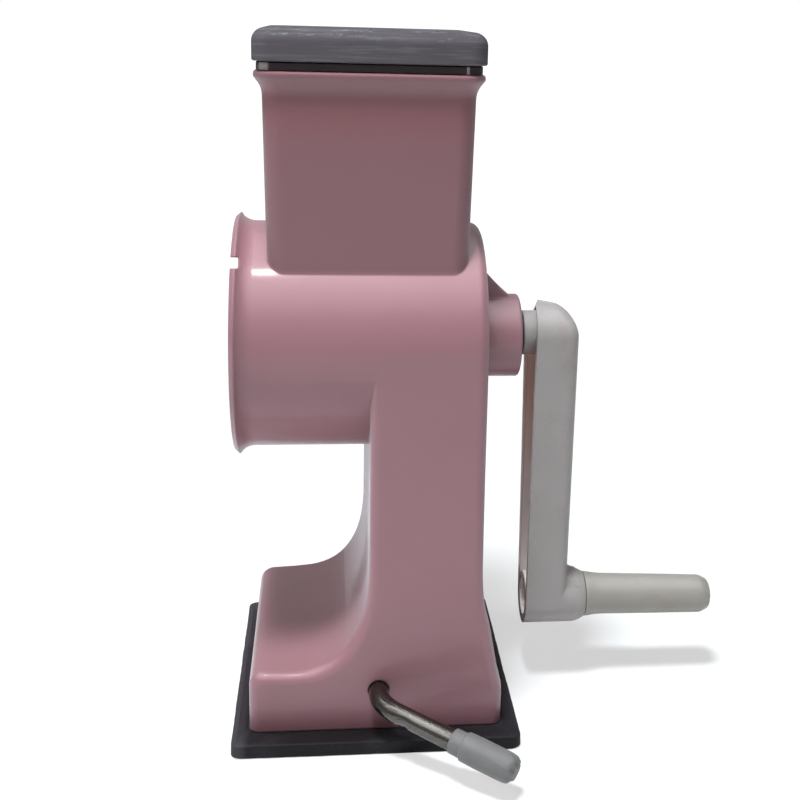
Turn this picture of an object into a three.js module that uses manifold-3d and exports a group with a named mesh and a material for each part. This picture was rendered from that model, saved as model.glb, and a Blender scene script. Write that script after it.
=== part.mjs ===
// Table-top rotary drum grater on a suction base, in millimetres.
// +X runs along the crank axis from the drum's mouth to the crank, +Z is up, and the origin is on the table
// straight under the middle of the lever's axle. The user stands at -Y, on the side of the suction lever.
import * as THREE from 'three';
import { mergeVertices } from 'three/addons/utils/BufferGeometryUtils.js';
import Module from 'manifold-3d';

const wasm = await Module();
wasm.setup();

// ---------------------------------------------------------------- driving dimensions
const SEAT_GAP = 0.3; // between two pieces that seat on each other
const RUN_GAP = 0.8; // round a part that turns or slides inside another

const WALL = 2.6; // wall of the moulded housing
const AXIS_HEIGHT = 164.4; // crank axis above the table
const CHAMBER_RADIUS = 48.4;
const CHAMBER_LENGTH = 104;
const BACK_X = 43.4; // outer face of the chamber's back wall
const FLANGE_RISE = 3.6; // how far the flange stands out from the chamber
const FLANGE_BACK = 2; // from the lip's face back to the flange's crest
const FLANGE_LENGTH = 6; // the flange's slope, from its crest back to the chamber
const NOTCH_ANGLE = 52.5; // degrees above the horizontal, on the near side of the lip
const NOTCH_WIDTH = 8.5;
const NOTCH_DEPTH = 3.2;
const BOSS_RADIUS = 18.2;
const BOSS_LENGTH = 18;
const BOSS_DROP = 1.1; // the outside of the boss sits this much below its bore
const GUSSET_WIDTH = 7;
const GUSSET_RISE = 12; // above the boss, where the gusset meets the back wall

const HOPPER_X = -5.4; // middle of the hopper
const HOPPER_WIDTH = 81; // where it leaves the chamber
const HOPPER_DEPTH = 70.4;
const HOPPER_TOP = 277.6; // height of the rim
const HOPPER_CORNER = 7;
const HOPPER_DRAFT = 0.019; // how far the sides lean out for each millimetre of height
const RIM_FLARE = 3.1;
const RIM_FLARE_HEIGHT = 9.6;
const RIM_LIP = 2.2; // upright band at the top of the flare
const RIM_MOUTH_FLARE = 3; // the same flare on the inside

const COLUMN_LEFT = -4.4; // left face of the column
const COLUMN_DEPTH = 96.8;
const BASE_X = -0.7; // middle of base and pad
const BASE_LENGTH = 107;
const BASE_DEPTH = 103.4;
const BASE_BOTTOM = 3.9; // rim of the base, on the pad
const BASE_TOP = 32.5; // height of the base's top at its left end
const BASE_CROWN = 1; // how much the top rises towards the column
const BASE_CORNER = 6.4; // rounding at the top of the base's left end
const EDGE_ROUND = 5.8; // rounding of the near and far edges of column and base
const COVE_START = 72; // height where the column's left face starts to curve out
const COVE_LENGTH = 28;
const FLARE_START = 70; // height where the right face starts to curve out
const TAPER_BOTTOM = 30; // between these heights the depth goes from the base's to the column's
const TAPER_TOP = 130;

const PAD_LENGTH = 121;
const PAD_DEPTH = 130.8;
const PAD_CORNER = 4.5;
const PAD_THICK = 6; // at the border; the top falls from there to the seat of the base
const PAD_RIM = 1.2; // flat border
const PAD_SEAT = 3.6; // thickness under the base's rim
const PAD_SEAT_MARGIN = 0.8; // of the seat round the base
const PAD_BEVEL = 0.8;
const PAD_CENTRE_THICK = 3.4; // under the stud plate
const PAD_RING_HEIGHT = 3.6; // ridge inside the base's rim
const PAD_RING_WIDTH = 3;
const CUP_RADIUS = 48; // outside of the shallow ring under the pad
const CUP_BUTTON_RADIUS = 16;
const CUP_DEPTH = 0.8;

const CAP_OVERHANG = 5.4; // of the pusher's cap past the hopper's sides
const CAP_THICK = 12.7;
const CAP_EDGE = 5.2;
const CAP_WALL = 10;
const SHOULDER_THICK = 3.1; // the dark plate between cap and rim
const SHOULDER_OVERHANG = 3.8;
const PLUNGER_WALL = 2;

const DRUM_RADIUS = 42.4; // outside of the sheet
const DRUM_SHEET = 1;
const DRUM_FRONT = 6.2; // from the lip's face back to the sheet's front edge
const DRUM_SLEEVE = 6; // how far the end pieces reach into the sheet
const TEETH_ROUND = 16;
const TEETH_ROWS = 8;
const TOOTH_RISE = 1.7;
const TOOTH_WIDTH = 4.6;
const TOOTH_RAMP = 3.2;
const HOLE_LENGTH = 3;
const END_WALL = 2;
const FRONT_RING_RADIUS = 44.4;
const HUB_RADIUS = 10;
const HUB_DEPTH = 16;

const SHAFT_RADIUS = 5;
const SQUARE = 7; // across flats, on both ends of the shaft
const BUSH_WALL = 2.7;
const BUSH_FLANGE_RADIUS = 12;
const BUSH_FLANGE = 1.5;
const THREAD_RADIUS = 3.2;
const THREAD_LENGTH = 15;
const NUT_RADIUS = 9.5;
const NUT_LENGTH = 11;
const NUT_LOBES = 6;
const WASHER_RADIUS = 10.5;
const WASHER_THICK = 1.2;

const CRANK_RADIUS = 126; // shaft axis to grip axis
const NECK_RADIUS = 9.8;
const NECK_LENGTH = 5;
const ARM_DEPTH = 19.1;
const ARM_WALL = 2.6;
const ARM_TOP_RADIUS = 14.5;
const ARM_FOOT_RADIUS = 12.5;
const ARM_ROUND = 5.5;
const ARM_SLOPE = 28; // degrees the arm's outer face leans back above the shaft's axis
const FOOT_BOSS_LENGTH = 9.2;
const FOOT_BOSS_END_RADIUS = 10.3;
const FOOT_RECESS_RADIUS = 8.6;
const FOOT_RECESS_DEPTH = 8;

const GRIP_RADIUS = 10.2;
const GRIP_WAIST_RADIUS = 9.4;
const GRIP_WAIST = 8; // from the grip's inner end to its waist
const GRIP_END_RADIUS = 8.7;
const GRIP_LENGTH = 60.5;
const GRIP_ROUND = 3.4;
const SHANK_RADIUS = 4;
const SHANK_HEAD_RADIUS = 6;
const SHANK_HEAD = 3;
const SHANK_SOCKET = 30;

const LEVER_X = 0;
const LEVER_HEIGHT = 21.8;
const LEVER_ROD_RADIUS = 4.2;
const LEVER_CORNER = 11.6; // outside the base, where the two straights would meet
const LEVER_BEND_RADIUS = 16;
const LEVER_BEND = 55.4; // degrees between the shaft and the arm
const LEVER_DROP = 10; // degrees below the horizontal at rest
const LEVER_ARM = 58; // from the corner to the end of the rod
const LEVER_HOLE_RADIUS = 4.7;
const LEVER_BOSS_RADIUS = 8;
const LEVER_BOSS_LENGTH = 10;
const LEVER_FAR_BOSS_LENGTH = 16;
const LEVER_CAP_START = 35.3;
const LEVER_COLLAR = 5.6;
const LEVER_COLLAR_RADIUS = 5.2;
const LEVER_CAP_RADIUS = 6.15;
const LEVER_CAP_END = 65;
const CLIP_RADIUS = 6.6;
const CLIP_THICK = 1.2;

const LEVER_TURN = 200; // degrees from one side to the other
const LIFT = 5; // of the pad's middle over that turn
const CAM_LOW_RADIUS = 6.5;
const CAM_THICK = 9;
const CAM_STEPS = 40;
const CAM_PIN_RADIUS = 1.25;
const CAM_PIN_END = 0.6; // the pin stops short of the cam's low side by this
const CAM_GAP = 0.45; // between cam and yoke at rest
const YOKE_WIDTH = 14; // along X
const YOKE_SIDE = 2.6;
const YOKE_BAR = 3;
const STUD_PLATE_RADIUS = 20;
const STUD_PLATE_THICK = 1.5;
const SCREW_RADIUS = 1.6;
const SCREW_HEAD_RADIUS = 3.6;
const SCREW_HEAD = 1.5;

const SMALL = 0.02; // overlap of solids that are joined into one
const ROUND = 32; // facets of a small round piece
const FINE = 48; // facets of the chamber

// ---------------------------------------------------------------- places that follow from them
const MOUTH_X = BACK_X - CHAMBER_LENGTH;
const BORE_RADIUS = CHAMBER_RADIUS - WALL;
const BACK_INNER_X = BACK_X - WALL;
const BOSS_END_X = BACK_X + BOSS_LENGTH;
const BASE_LEFT = BASE_X - BASE_LENGTH / 2;
const BASE_RIGHT = BASE_X + BASE_LENGTH / 2;
const ARM_OPEN_X = BOSS_END_X + SEAT_GAP + WASHER_THICK + SEAT_GAP + NECK_LENGTH;
const NECK_X = ARM_OPEN_X - NECK_LENGTH;
const ARM_OUTER_X = ARM_OPEN_X + ARM_DEPTH;
const GRIP_HEIGHT = AXIS_HEIGHT - CRANK_RADIUS;
const FOOT_END_X = ARM_OUTER_X + FOOT_BOSS_LENGTH;

const colours = {
  pink: { color: '#d9a7b6', roughness: 0.28, metalness: 0 },
  grey: { color: '#7f7d80', roughness: 0.5, metalness: 0 },
  dark: { color: '#3b3537', roughness: 0.5, metalness: 0 },
  black: { color: '#262628', roughness: 0.75, metalness: 0 },
  ivory: { color: '#cfcbc4', roughness: 0.4, metalness: 0 },
  cloudy: { color: '#b9b9b9', roughness: 0.45, metalness: 0 },
  nylon: { color: '#e4e2dc', roughness: 0.5, metalness: 0 },
  bright: { color: '#b4b1ac', roughness: 0.25, metalness: 1 },
  steel: { color: '#9d9fa1', roughness: 0.35, metalness: 1 },
};

// ---------------------------------------------------------------- solids and frames
// A closed three.js geometry as a solid that can be joined and cut, whichever way its faces were wound.
function solid(geometry) {
  const bare = geometry.index ? geometry.toNonIndexed() : geometry.clone();
  bare.deleteAttribute('normal');
  bare.deleteAttribute('uv');
  const merged = mergeVertices(bare, 1e-4);
  const place = merged.attributes.position.array;
  const faces = [];
  let volume = 0;
  const corner = [new THREE.Vector3(), new THREE.Vector3(), new THREE.Vector3()];
  for (let i = 0; i < merged.index.count; i += 3) {
    const [a, b, c] = [0, 1, 2].map((k) => merged.index.getX(i + k));
    if (a === b || b === c || c === a) continue;
    faces.push([a, b, c]);
    [a, b, c].forEach((v, k) => corner[k].fromArray(place, 3 * v));
    volume += corner[0].dot(corner[1].cross(corner[2]));
  }
  if (volume < 0) faces.forEach((face) => face.reverse());
  const triVerts = new Uint32Array(faces.flat());
  return new wasm.Manifold(new wasm.Mesh({ numProp: 3, vertProperties: new Float32Array(place), triVerts }));
}

const joined = (...parts) => parts.reduce((all, part) => all.add(part));

function meshOf(name, body, look) {
  const data = body.getMesh();
  const geometry = new THREE.BufferGeometry();
  const xyz = new Float32Array(data.numVert * 3);
  for (let v = 0; v < data.numVert; v += 1) {
    for (let k = 0; k < 3; k += 1) xyz[3 * v + k] = data.vertProperties[data.numProp * v + k];
  }
  geometry.setAttribute('position', new THREE.BufferAttribute(xyz, 3));
  geometry.setIndex(new THREE.BufferAttribute(new Uint32Array(data.triVerts), 1));
  geometry.computeVertexNormals();
  const mesh = new THREE.Mesh(geometry, new THREE.MeshStandardMaterial(colours[look]));
  mesh.name = name;
  return mesh;
}

const unit = { x: new THREE.Vector3(1, 0, 0), y: new THREE.Vector3(0, 1, 0), z: new THREE.Vector3(0, 0, 1) };
// An outline drawn in the YZ plane and pushed along +X, or drawn in the XZ plane and pushed along -Y.
const alongX = new THREE.Matrix4().makeBasis(unit.y, unit.z, unit.x);
const alongY = new THREE.Matrix4().makeBasis(unit.x, unit.z, unit.y.clone().negate());

// A piece turned about an axis along X; the profile is [distance from the axis, X] pairs.
function turnedX(profile, y, z, facets = ROUND) {
  const points = profile.map(([radius, x]) => new THREE.Vector2(Math.max(radius, 0), x));
  const lathe = new THREE.LatheGeometry(points, facets);
  lathe.rotateZ(-Math.PI / 2);
  lathe.rotateX(Math.PI / facets);
  lathe.translate(0, y, z);
  return solid(lathe);
}

function rodX(radius, x0, x1, y, z, facets) {
  return turnedX([[0, x0], [radius, x0], [radius, x1], [0, x1]], y, z, facets);
}

function tubeX(outer, inner, x0, x1, y, z, facets) {
  return turnedX([[inner, x0], [outer, x0], [outer, x1], [inner, x1], [inner, x0]], y, z, facets);
}

// A round bar along Y or Z.
function rodY(radius, y0, y1, x, z, facets = ROUND) {
  const bar = new THREE.CylinderGeometry(radius, radius, y1 - y0, facets);
  bar.translate(x, (y0 + y1) / 2, z);
  return solid(bar);
}

function rodZ(radius, z0, z1, x, y, facets = ROUND) {
  const bar = new THREE.CylinderGeometry(radius, radius, z1 - z0, facets);
  bar.rotateX(Math.PI / 2);
  bar.translate(x, y, (z0 + z1) / 2);
  return solid(bar);
}

function block(x0, x1, y0, y1, z0, z1) {
  const box = new THREE.BoxGeometry(x1 - x0, y1 - y0, z1 - z0);
  box.translate((x0 + x1) / 2, (y0 + y1) / 2, (z0 + z1) / 2);
  return solid(box);
}

// A rectangle with rounded corners, centred on the origin.
function roundedRectangle(width, depth, radius) {
  const [w, d] = [width / 2, depth / 2];
  const shape = new THREE.Shape();
  shape.moveTo(-w + radius, -d);
  shape.lineTo(w - radius, -d).absarc(w - radius, -d + radius, radius, -Math.PI / 2, 0);
  shape.lineTo(w, d - radius).absarc(w - radius, d - radius, radius, 0, Math.PI / 2);
  shape.lineTo(-w + radius, d).absarc(-w + radius, d - radius, radius, Math.PI / 2, Math.PI);
  shape.lineTo(-w, -d + radius).absarc(-w + radius, -d + radius, radius, Math.PI, Math.PI * 1.5);
  return shape;
}

// A rounded box from z0 up. Its sides stand out by grow(height above z0) and bend at each of the levels.
function flaredBox({ x = 0, width, depth, corner, z0, levels, grow }) {
  const height = levels[levels.length - 1];
  const shape = roundedRectangle(width, depth, corner);
  const box = new THREE.ExtrudeGeometry(shape, {
    depth: height, steps: levels.length - 1, bevelEnabled: false, curveSegments: 2,
  });
  const place = box.attributes.position;
  for (let i = 0; i < place.count; i += 1) {
    const level = levels[Math.round((place.getZ(i) / height) * (levels.length - 1))];
    const out = grow(level);
    const [wider, deeper] = [1 + (2 * out) / width, 1 + (2 * out) / depth];
    place.setXYZ(i, x + place.getX(i) * wider, place.getY(i) * deeper, z0 + level);
  }
  return solid(box);
}

function straightBox(options) {
  return flaredBox({ ...options, levels: [0, options.z1 - options.z0], grow: () => 0 });
}

const squareX = (side, x0, x1) => block(
  x0, x1, -side / 2, side / 2, AXIS_HEIGHT - side / 2, AXIS_HEIGHT + side / 2,
);

// ---------------------------------------------------------------- housing: chamber, hopper, column and base
// Side view of the column and base, drawn inwards by inset, from far below the rim up to a flat top.
function pedestalOutline(inset, bottom, top) {
  const left = COLUMN_LEFT + inset;
  const right = BACK_X - inset;
  const crownZ = BASE_TOP + BASE_CROWN - inset;
  const shape = new THREE.Shape();
  const corner = Math.max(BASE_CORNER - inset, 0.3);
  shape.moveTo(BASE_LEFT + inset, bottom);
  shape.lineTo(BASE_LEFT + inset, BASE_TOP - inset - corner);
  shape.absarc(BASE_LEFT + inset + corner, BASE_TOP - inset - corner, corner, Math.PI, Math.PI / 2, true);
  shape.lineTo(left - COVE_LENGTH, crownZ);
  shape.quadraticCurveTo(left - 1, crownZ + 2, left, COVE_START);
  shape.lineTo(left, top);
  shape.lineTo(right, top);
  shape.lineTo(right, FLARE_START);
  const flareFoot = BASE_TOP - 4;
  shape.quadraticCurveTo(right, FLARE_START - 11, right + 3.4, FLARE_START - 21);
  shape.lineTo(BASE_RIGHT - inset - 1.3, flareFoot);
  shape.quadraticCurveTo(BASE_RIGHT - inset, flareFoot - 3.4, BASE_RIGHT - inset, flareFoot - 8);
  shape.lineTo(BASE_RIGHT - inset, bottom);
  return shape;
}

// Skins a row of closed rings with equally many points and caps both ends; flat is one ring's shape in 2D.
function skinned(rings, flat) {
  const count = flat.length;
  const last = (rings.length - 1) * count;
  const faces = [];
  THREE.ShapeUtils.triangulateShape(flat, []).forEach(([a, b, c]) => {
    faces.push(a, c, b, last + a, last + b, last + c);
  });
  for (let ring = 0; ring < last; ring += count) {
    for (let i = 0; i < count; i += 1) {
      const [a, b] = [ring + i, ring + ((i + 1) % count)];
      faces.push(a, b, b + count, a, b + count, a + count);
    }
  }
  const skin = new THREE.BufferGeometry().setFromPoints(rings.flat());
  skin.setIndex(faces);
  return skin;
}

// A stack of outlines, each [outline, height], skinned into one body.
function lofted(sections, curveSegments) {
  const outlines = sections.map(([shape]) => {
    const { shape: points } = shape.extractPoints(curveSegments);
    return THREE.ShapeUtils.isClockWise(points) ? points.reverse() : points;
  });
  const rings = outlines.map((points, i) => (
    points.map((point) => new THREE.Vector3(point.x, point.y, sections[i][1]))
  ));
  return skinned(rings, outlines[0]);
}

// The outline pushed through the depth of the base, its near and far edges rounded, less deep up the column.
function pedestal(inset, top) {
  const edge = EDGE_ROUND - inset;
  const half = BASE_DEPTH / 2 - inset;
  const steps = 3;
  const sections = [];
  for (let i = 0; i < 2 * (steps + 1); i += 1) {
    const far = i > steps;
    const angle = (Math.PI / 2) * ((far ? 2 * steps + 1 - i : i) / steps);
    const reach = half - edge * (1 - Math.cos(angle));
    const outline = pedestalOutline(inset + edge * (1 - Math.sin(angle)), BASE_BOTTOM - 2 * EDGE_ROUND, top);
    sections.push([outline, far ? reach : -reach]);
  }
  const body = lofted(sections, 5);
  body.applyMatrix4(alongY);
  const columnHalf = COLUMN_DEPTH / 2 - inset;
  const place = body.attributes.position;
  for (let i = 0; i < place.count; i += 1) {
    const share = THREE.MathUtils.smoothstep(place.getZ(i), TAPER_BOTTOM, TAPER_TOP);
    place.setY(i, place.getY(i) * THREE.MathUtils.lerp(1, columnHalf / half, share));
  }
  return solid(body);
}

function hopperShell() {
  const flareStart = HOPPER_TOP - RIM_FLARE_HEIGHT;
  const profile = (z0, draft, rise) => ({
    levels: [0, flareStart - z0, flareStart - z0 + (RIM_FLARE_HEIGHT - RIM_LIP) * 0.5,
      HOPPER_TOP - RIM_LIP - z0, HOPPER_TOP - z0],
    grow: (level) => {
      const share = THREE.MathUtils.clamp((level + z0 - flareStart) / (RIM_FLARE_HEIGHT - RIM_LIP), 0, 1);
      return draft * level + rise * share * share * (1.6 - 0.6 * share);
    },
  });
  const foot = AXIS_HEIGHT + CHAMBER_RADIUS / 4;
  const outer = flaredBox({
    x: HOPPER_X, width: HOPPER_WIDTH, depth: HOPPER_DEPTH, corner: HOPPER_CORNER,
    z0: foot, ...profile(foot, HOPPER_DRAFT, RIM_FLARE),
  });
  const inner = flaredBox({
    x: HOPPER_X, width: HOPPER_WIDTH - 2 * WALL, depth: HOPPER_DEPTH - 2 * WALL, corner: HOPPER_CORNER - WALL,
    z0: AXIS_HEIGHT, ...profile(AXIS_HEIGHT, 0, RIM_MOUTH_FLARE),
  });
  const open = straightBox({
    x: HOPPER_X, width: HOPPER_WIDTH - 2 * WALL + 2 * RIM_MOUTH_FLARE,
    depth: HOPPER_DEPTH - 2 * WALL + 2 * RIM_MOUTH_FLARE, corner: HOPPER_CORNER,
    z0: HOPPER_TOP - SMALL, z1: HOPPER_TOP + 1,
  });
  return { outer, inner: inner.add(open) };
}

function housing() {
  const crestX = MOUTH_X + FLANGE_BACK;
  const back = 4; // rounding where the chamber meets its back wall
  const chamberOuter = turnedX([
    [0, MOUTH_X], [CHAMBER_RADIUS + FLANGE_RISE * 0.5, MOUTH_X], [CHAMBER_RADIUS + FLANGE_RISE, crestX],
    [CHAMBER_RADIUS + FLANGE_RISE * 0.35, crestX + FLANGE_LENGTH * 0.4],
    [CHAMBER_RADIUS, crestX + FLANGE_LENGTH], [CHAMBER_RADIUS, BACK_X - back],
    [CHAMBER_RADIUS - back * 0.3, BACK_X - back * 0.3],
    [CHAMBER_RADIUS - back, BACK_X], [0, BACK_X],
  ], 0, AXIS_HEIGHT, FINE);
  const bore = rodX(BORE_RADIUS, MOUTH_X - 1, BACK_INNER_X, 0, AXIS_HEIGHT, FINE);
  const hopper = hopperShell();

  const bossRound = 1.4;
  const boss = turnedX([
    [0, BACK_X - 1], [BOSS_RADIUS + 0.6, BACK_X - 1], [BOSS_RADIUS, BOSS_END_X - bossRound],
    [BOSS_RADIUS - bossRound * 0.35, BOSS_END_X - bossRound * 0.35], [BOSS_RADIUS - bossRound, BOSS_END_X],
    [0, BOSS_END_X],
  ], 0, AXIS_HEIGHT - BOSS_DROP);
  const bushSeat = SHAFT_RADIUS + SEAT_GAP + BUSH_WALL + SEAT_GAP;
  const bossBore = rodX(bushSeat, BACK_INNER_X - 1, BOSS_END_X + 1, 0, AXIS_HEIGHT);
  const gussetShape = new THREE.Shape();
  const bossTop = AXIS_HEIGHT - BOSS_DROP + BOSS_RADIUS;
  gussetShape.moveTo(BACK_X - 1, bossTop - 4);
  gussetShape.lineTo(BOSS_END_X - 4, bossTop - 4);
  gussetShape.lineTo(BOSS_END_X - 4, bossTop - 0.4);
  gussetShape.quadraticCurveTo(BOSS_END_X - 9, bossTop + 3.5, BACK_X + 1.5, bossTop + GUSSET_RISE);
  gussetShape.lineTo(BACK_X - 1, bossTop + GUSSET_RISE);
  const gusset = new THREE.ExtrudeGeometry(gussetShape, {
    depth: GUSSET_WIDTH, bevelEnabled: false, curveSegments: 4,
  });
  gusset.applyMatrix4(alongY);
  gusset.translate(0, GUSSET_WIDTH / 2, 0);

  // The pedestal is cut off level at its rim. Its hollow stops under the chamber and goes up beside it.
  const belowRim = block(-BASE_LENGTH, BASE_LENGTH, -BASE_DEPTH, BASE_DEPTH, -BASE_LENGTH, BASE_BOTTOM);
  const foot = pedestal(0, AXIS_HEIGHT + EDGE_ROUND + 1).subtract(belowRim);
  const chamberSide = rodX(CHAMBER_RADIUS + SMALL, MOUTH_X, BACK_X, 0, AXIS_HEIGHT, FINE);
  const footHollow = pedestal(WALL, AXIS_HEIGHT - 8).subtract(chamberSide);

  const nearWall = -(BASE_DEPTH / 2 - WALL);
  const farWall = BASE_DEPTH / 2 - WALL;
  const leverBoss = (y0, y1) => rodY(LEVER_BOSS_RADIUS, y0, y1, LEVER_X, LEVER_HEIGHT, 20);
  const nearBoss = leverBoss(nearWall - 0.5, nearWall + LEVER_BOSS_LENGTH);
  const farBoss = leverBoss(farWall - LEVER_FAR_BOSS_LENGTH, farWall + 0.5);
  const rodHole = rodY(LEVER_HOLE_RADIUS, -BASE_DEPTH, farWall - 2, LEVER_X, LEVER_HEIGHT, 20);

  const notch = new THREE.BoxGeometry(2 * NOTCH_DEPTH, 6 * WALL, NOTCH_WIDTH);
  notch.translate(MOUTH_X, -CHAMBER_RADIUS, 0);
  notch.rotateX(-THREE.MathUtils.degToRad(NOTCH_ANGLE));
  notch.translate(0, 0, AXIS_HEIGHT);

  return joined(chamberOuter, hopper.outer, foot, boss, solid(gusset))
    .subtract(joined(bore, hopper.inner, footHollow))
    .add(joined(nearBoss, farBoss))
    .subtract(joined(bossBore, rodHole, solid(notch)));
}

// ---------------------------------------------------------------- pusher
const CAP_WIDTH = HOPPER_WIDTH + 2 * CAP_OVERHANG;
const CAP_DEPTH = HOPPER_DEPTH + 2 * CAP_OVERHANG;
const SHOULDER_Z = HOPPER_TOP + SEAT_GAP;
const CAP_Z = SHOULDER_Z + SHOULDER_THICK + SEAT_GAP;

function pusherCap() {
  const roundLevels = [1, 0.62, 0.29, 0.08, 0].map((share) => CAP_THICK - CAP_EDGE * share);
  const outer = flaredBox({
    x: HOPPER_X, width: CAP_WIDTH, depth: CAP_DEPTH, corner: HOPPER_CORNER, z0: CAP_Z,
    levels: [0, 1, ...roundLevels],
    grow: (level) => {
      if (level === 0) return -0.6;
      const into = Math.max(0, level - (CAP_THICK - CAP_EDGE));
      return Math.sqrt(CAP_EDGE * CAP_EDGE - into * into) - CAP_EDGE;
    },
  });
  const recess = straightBox({
    x: HOPPER_X, width: CAP_WIDTH - 2 * CAP_WALL, depth: CAP_DEPTH - 2 * CAP_WALL, corner: HOPPER_CORNER,
    z0: CAP_Z - 1, z1: CAP_Z + CAP_THICK - 3.5,
  });
  return outer.subtract(recess);
}

function pusherPlunger() {
  const width = HOPPER_WIDTH - 2 * WALL - 2 * RUN_GAP;
  const depth = HOPPER_DEPTH - 2 * WALL - 2 * RUN_GAP;
  const corner = HOPPER_CORNER - WALL;
  const shoulder = straightBox({
    x: HOPPER_X, width: HOPPER_WIDTH + 2 * SHOULDER_OVERHANG, depth: HOPPER_DEPTH + 2 * SHOULDER_OVERHANG,
    corner: HOPPER_CORNER, z0: SHOULDER_Z, z1: SHOULDER_Z + SHOULDER_THICK,
  });
  const box = straightBox({ x: HOPPER_X, width, depth, corner, z0: AXIS_HEIGHT, z1: SHOULDER_Z + SMALL });
  const pocket = straightBox({
    x: HOPPER_X, width: width - 2 * PLUNGER_WALL, depth: depth - 2 * PLUNGER_WALL,
    corner: corner - PLUNGER_WALL, z0: AXIS_HEIGHT, z1: SHOULDER_Z + SHOULDER_THICK + 1,
  });
  // The working face is hollowed to the drum's curve, and the pocket keeps the same floor above it.
  const sweep = BORE_RADIUS + RUN_GAP;
  const curve = rodX(sweep, MOUTH_X, BACK_X, 0, AXIS_HEIGHT, FINE);
  const floor = rodX(sweep + PLUNGER_WALL, MOUTH_X, BACK_X, 0, AXIS_HEIGHT, FINE);
  return shoulder.add(box).subtract(pocket.subtract(floor)).subtract(curve);
}

// ---------------------------------------------------------------- crank
function crankArm() {
  const outline = (inset) => {
    const top = ARM_TOP_RADIUS - inset;
    const foot = ARM_FOOT_RADIUS - inset;
    const lean = Math.asin((top - foot) / CRANK_RADIUS);
    const shape = new THREE.Shape();
    shape.absarc(0, AXIS_HEIGHT, top, -lean, Math.PI + lean);
    shape.absarc(0, GRIP_HEIGHT, foot, Math.PI + lean, 2 * Math.PI - lean);
    return shape;
  };
  const shell = (inset, x0, x1, edge) => {
    const body = new THREE.ExtrudeGeometry(outline(inset), {
      depth: x1 - x0 - edge, curveSegments: 6,
      bevelThickness: edge, bevelSize: edge, bevelOffset: -edge, bevelSegments: 3,
    });
    body.applyMatrix4(alongX);
    body.translate(x0, 0, 0);
    return solid(body);
  };
  // What a plane leaning back over the shaft's end takes off; it turns at x and z.
  const aboveSlope = (x, z) => {
    const side = 3 * ARM_DEPTH;
    const cut = new THREE.BoxGeometry(side, side, side);
    cut.translate(side / 2, 0, side / 2);
    cut.rotateY(-THREE.MathUtils.degToRad(ARM_SLOPE));
    cut.translate(x, 0, z);
    return solid(cut);
  };
  // The extrusion is rounded at both ends; the open end is cut off square.
  const openSide = block(ARM_OPEN_X - 60, ARM_OPEN_X, -60, 60, 0, 2 * AXIS_HEIGHT);
  const outer = shell(0, ARM_OPEN_X - ARM_ROUND, ARM_OUTER_X, ARM_ROUND).subtract(openSide);
  const inner = shell(ARM_WALL, ARM_OPEN_X - ARM_ROUND, ARM_OUTER_X - ARM_WALL, ARM_ROUND - ARM_WALL)
    .subtract(aboveSlope(ARM_OUTER_X - ARM_WALL, AXIS_HEIGHT - ARM_WALL / 4));
  const webX = ARM_OUTER_X - ARM_WALL - SMALL;
  const neck = rodX(NECK_RADIUS, NECK_X, webX, 0, AXIS_HEIGHT);
  const foot = rodX(ARM_FOOT_RADIUS - ARM_WALL / 2, ARM_OPEN_X, webX, 0, GRIP_HEIGHT);
  const footBoss = turnedX([
    [0, webX], [ARM_FOOT_RADIUS, webX], [ARM_FOOT_RADIUS, FOOT_END_X - 4.6],
    [ARM_FOOT_RADIUS - 0.5, FOOT_END_X - 3], [FOOT_BOSS_END_RADIUS, FOOT_END_X], [0, FOOT_END_X],
  ], 0, GRIP_HEIGHT);
  const recess = rodX(FOOT_RECESS_RADIUS, ARM_OPEN_X - 1, ARM_OPEN_X + FOOT_RECESS_DEPTH, 0, GRIP_HEIGHT);
  const shankHole = rodX(SHANK_RADIUS + SEAT_GAP, ARM_OPEN_X, FOOT_END_X + 1, 0, GRIP_HEIGHT, 20);
  const socket = squareX(SQUARE + 2 * SEAT_GAP, NECK_X - 1, ARM_OUTER_X - ARM_WALL - 2);
  return outer.subtract(inner).add(joined(neck, foot, footBoss))
    .subtract(joined(aboveSlope(ARM_OUTER_X, AXIS_HEIGHT), recess, shankHole, socket));
}

const HUB_SEAT_X = BACK_INNER_X - SEAT_GAP - BUSH_FLANGE - SEAT_GAP;
const HUB_FACE_X = HUB_SEAT_X - HUB_DEPTH;
const NUT_X = HUB_FACE_X - SEAT_GAP - NUT_LENGTH;

function driveShaft() {
  const square = squareX(SQUARE, HUB_FACE_X + SEAT_GAP, ARM_OUTER_X - ARM_WALL - 2 - SEAT_GAP);
  const journal = rodX(SHAFT_RADIUS, HUB_SEAT_X + SEAT_GAP, NECK_X - SEAT_GAP, 0, AXIS_HEIGHT, 24);
  const thread = rodX(THREAD_RADIUS, HUB_FACE_X - THREAD_LENGTH, HUB_FACE_X + 1, 0, AXIS_HEIGHT, 24);
  return joined(square, journal, thread);
}

function thrustWasher() {
  const [x0, x1] = [BOSS_END_X + SEAT_GAP, NECK_X - SEAT_GAP];
  return tubeX(WASHER_RADIUS, SHAFT_RADIUS + SEAT_GAP, x0, x1, 0, AXIS_HEIGHT);
}

function bearingBush() {
  const inner = SHAFT_RADIUS + SEAT_GAP;
  const x0 = BACK_INNER_X - SEAT_GAP - BUSH_FLANGE;
  return turnedX([
    [inner, x0], [BUSH_FLANGE_RADIUS, x0], [BUSH_FLANGE_RADIUS, x0 + BUSH_FLANGE],
    [inner + BUSH_WALL, x0 + BUSH_FLANGE], [inner + BUSH_WALL, BOSS_END_X - SEAT_GAP],
    [inner, BOSS_END_X - SEAT_GAP], [inner, x0],
  ], 0, AXIS_HEIGHT, 24);
}

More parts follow.
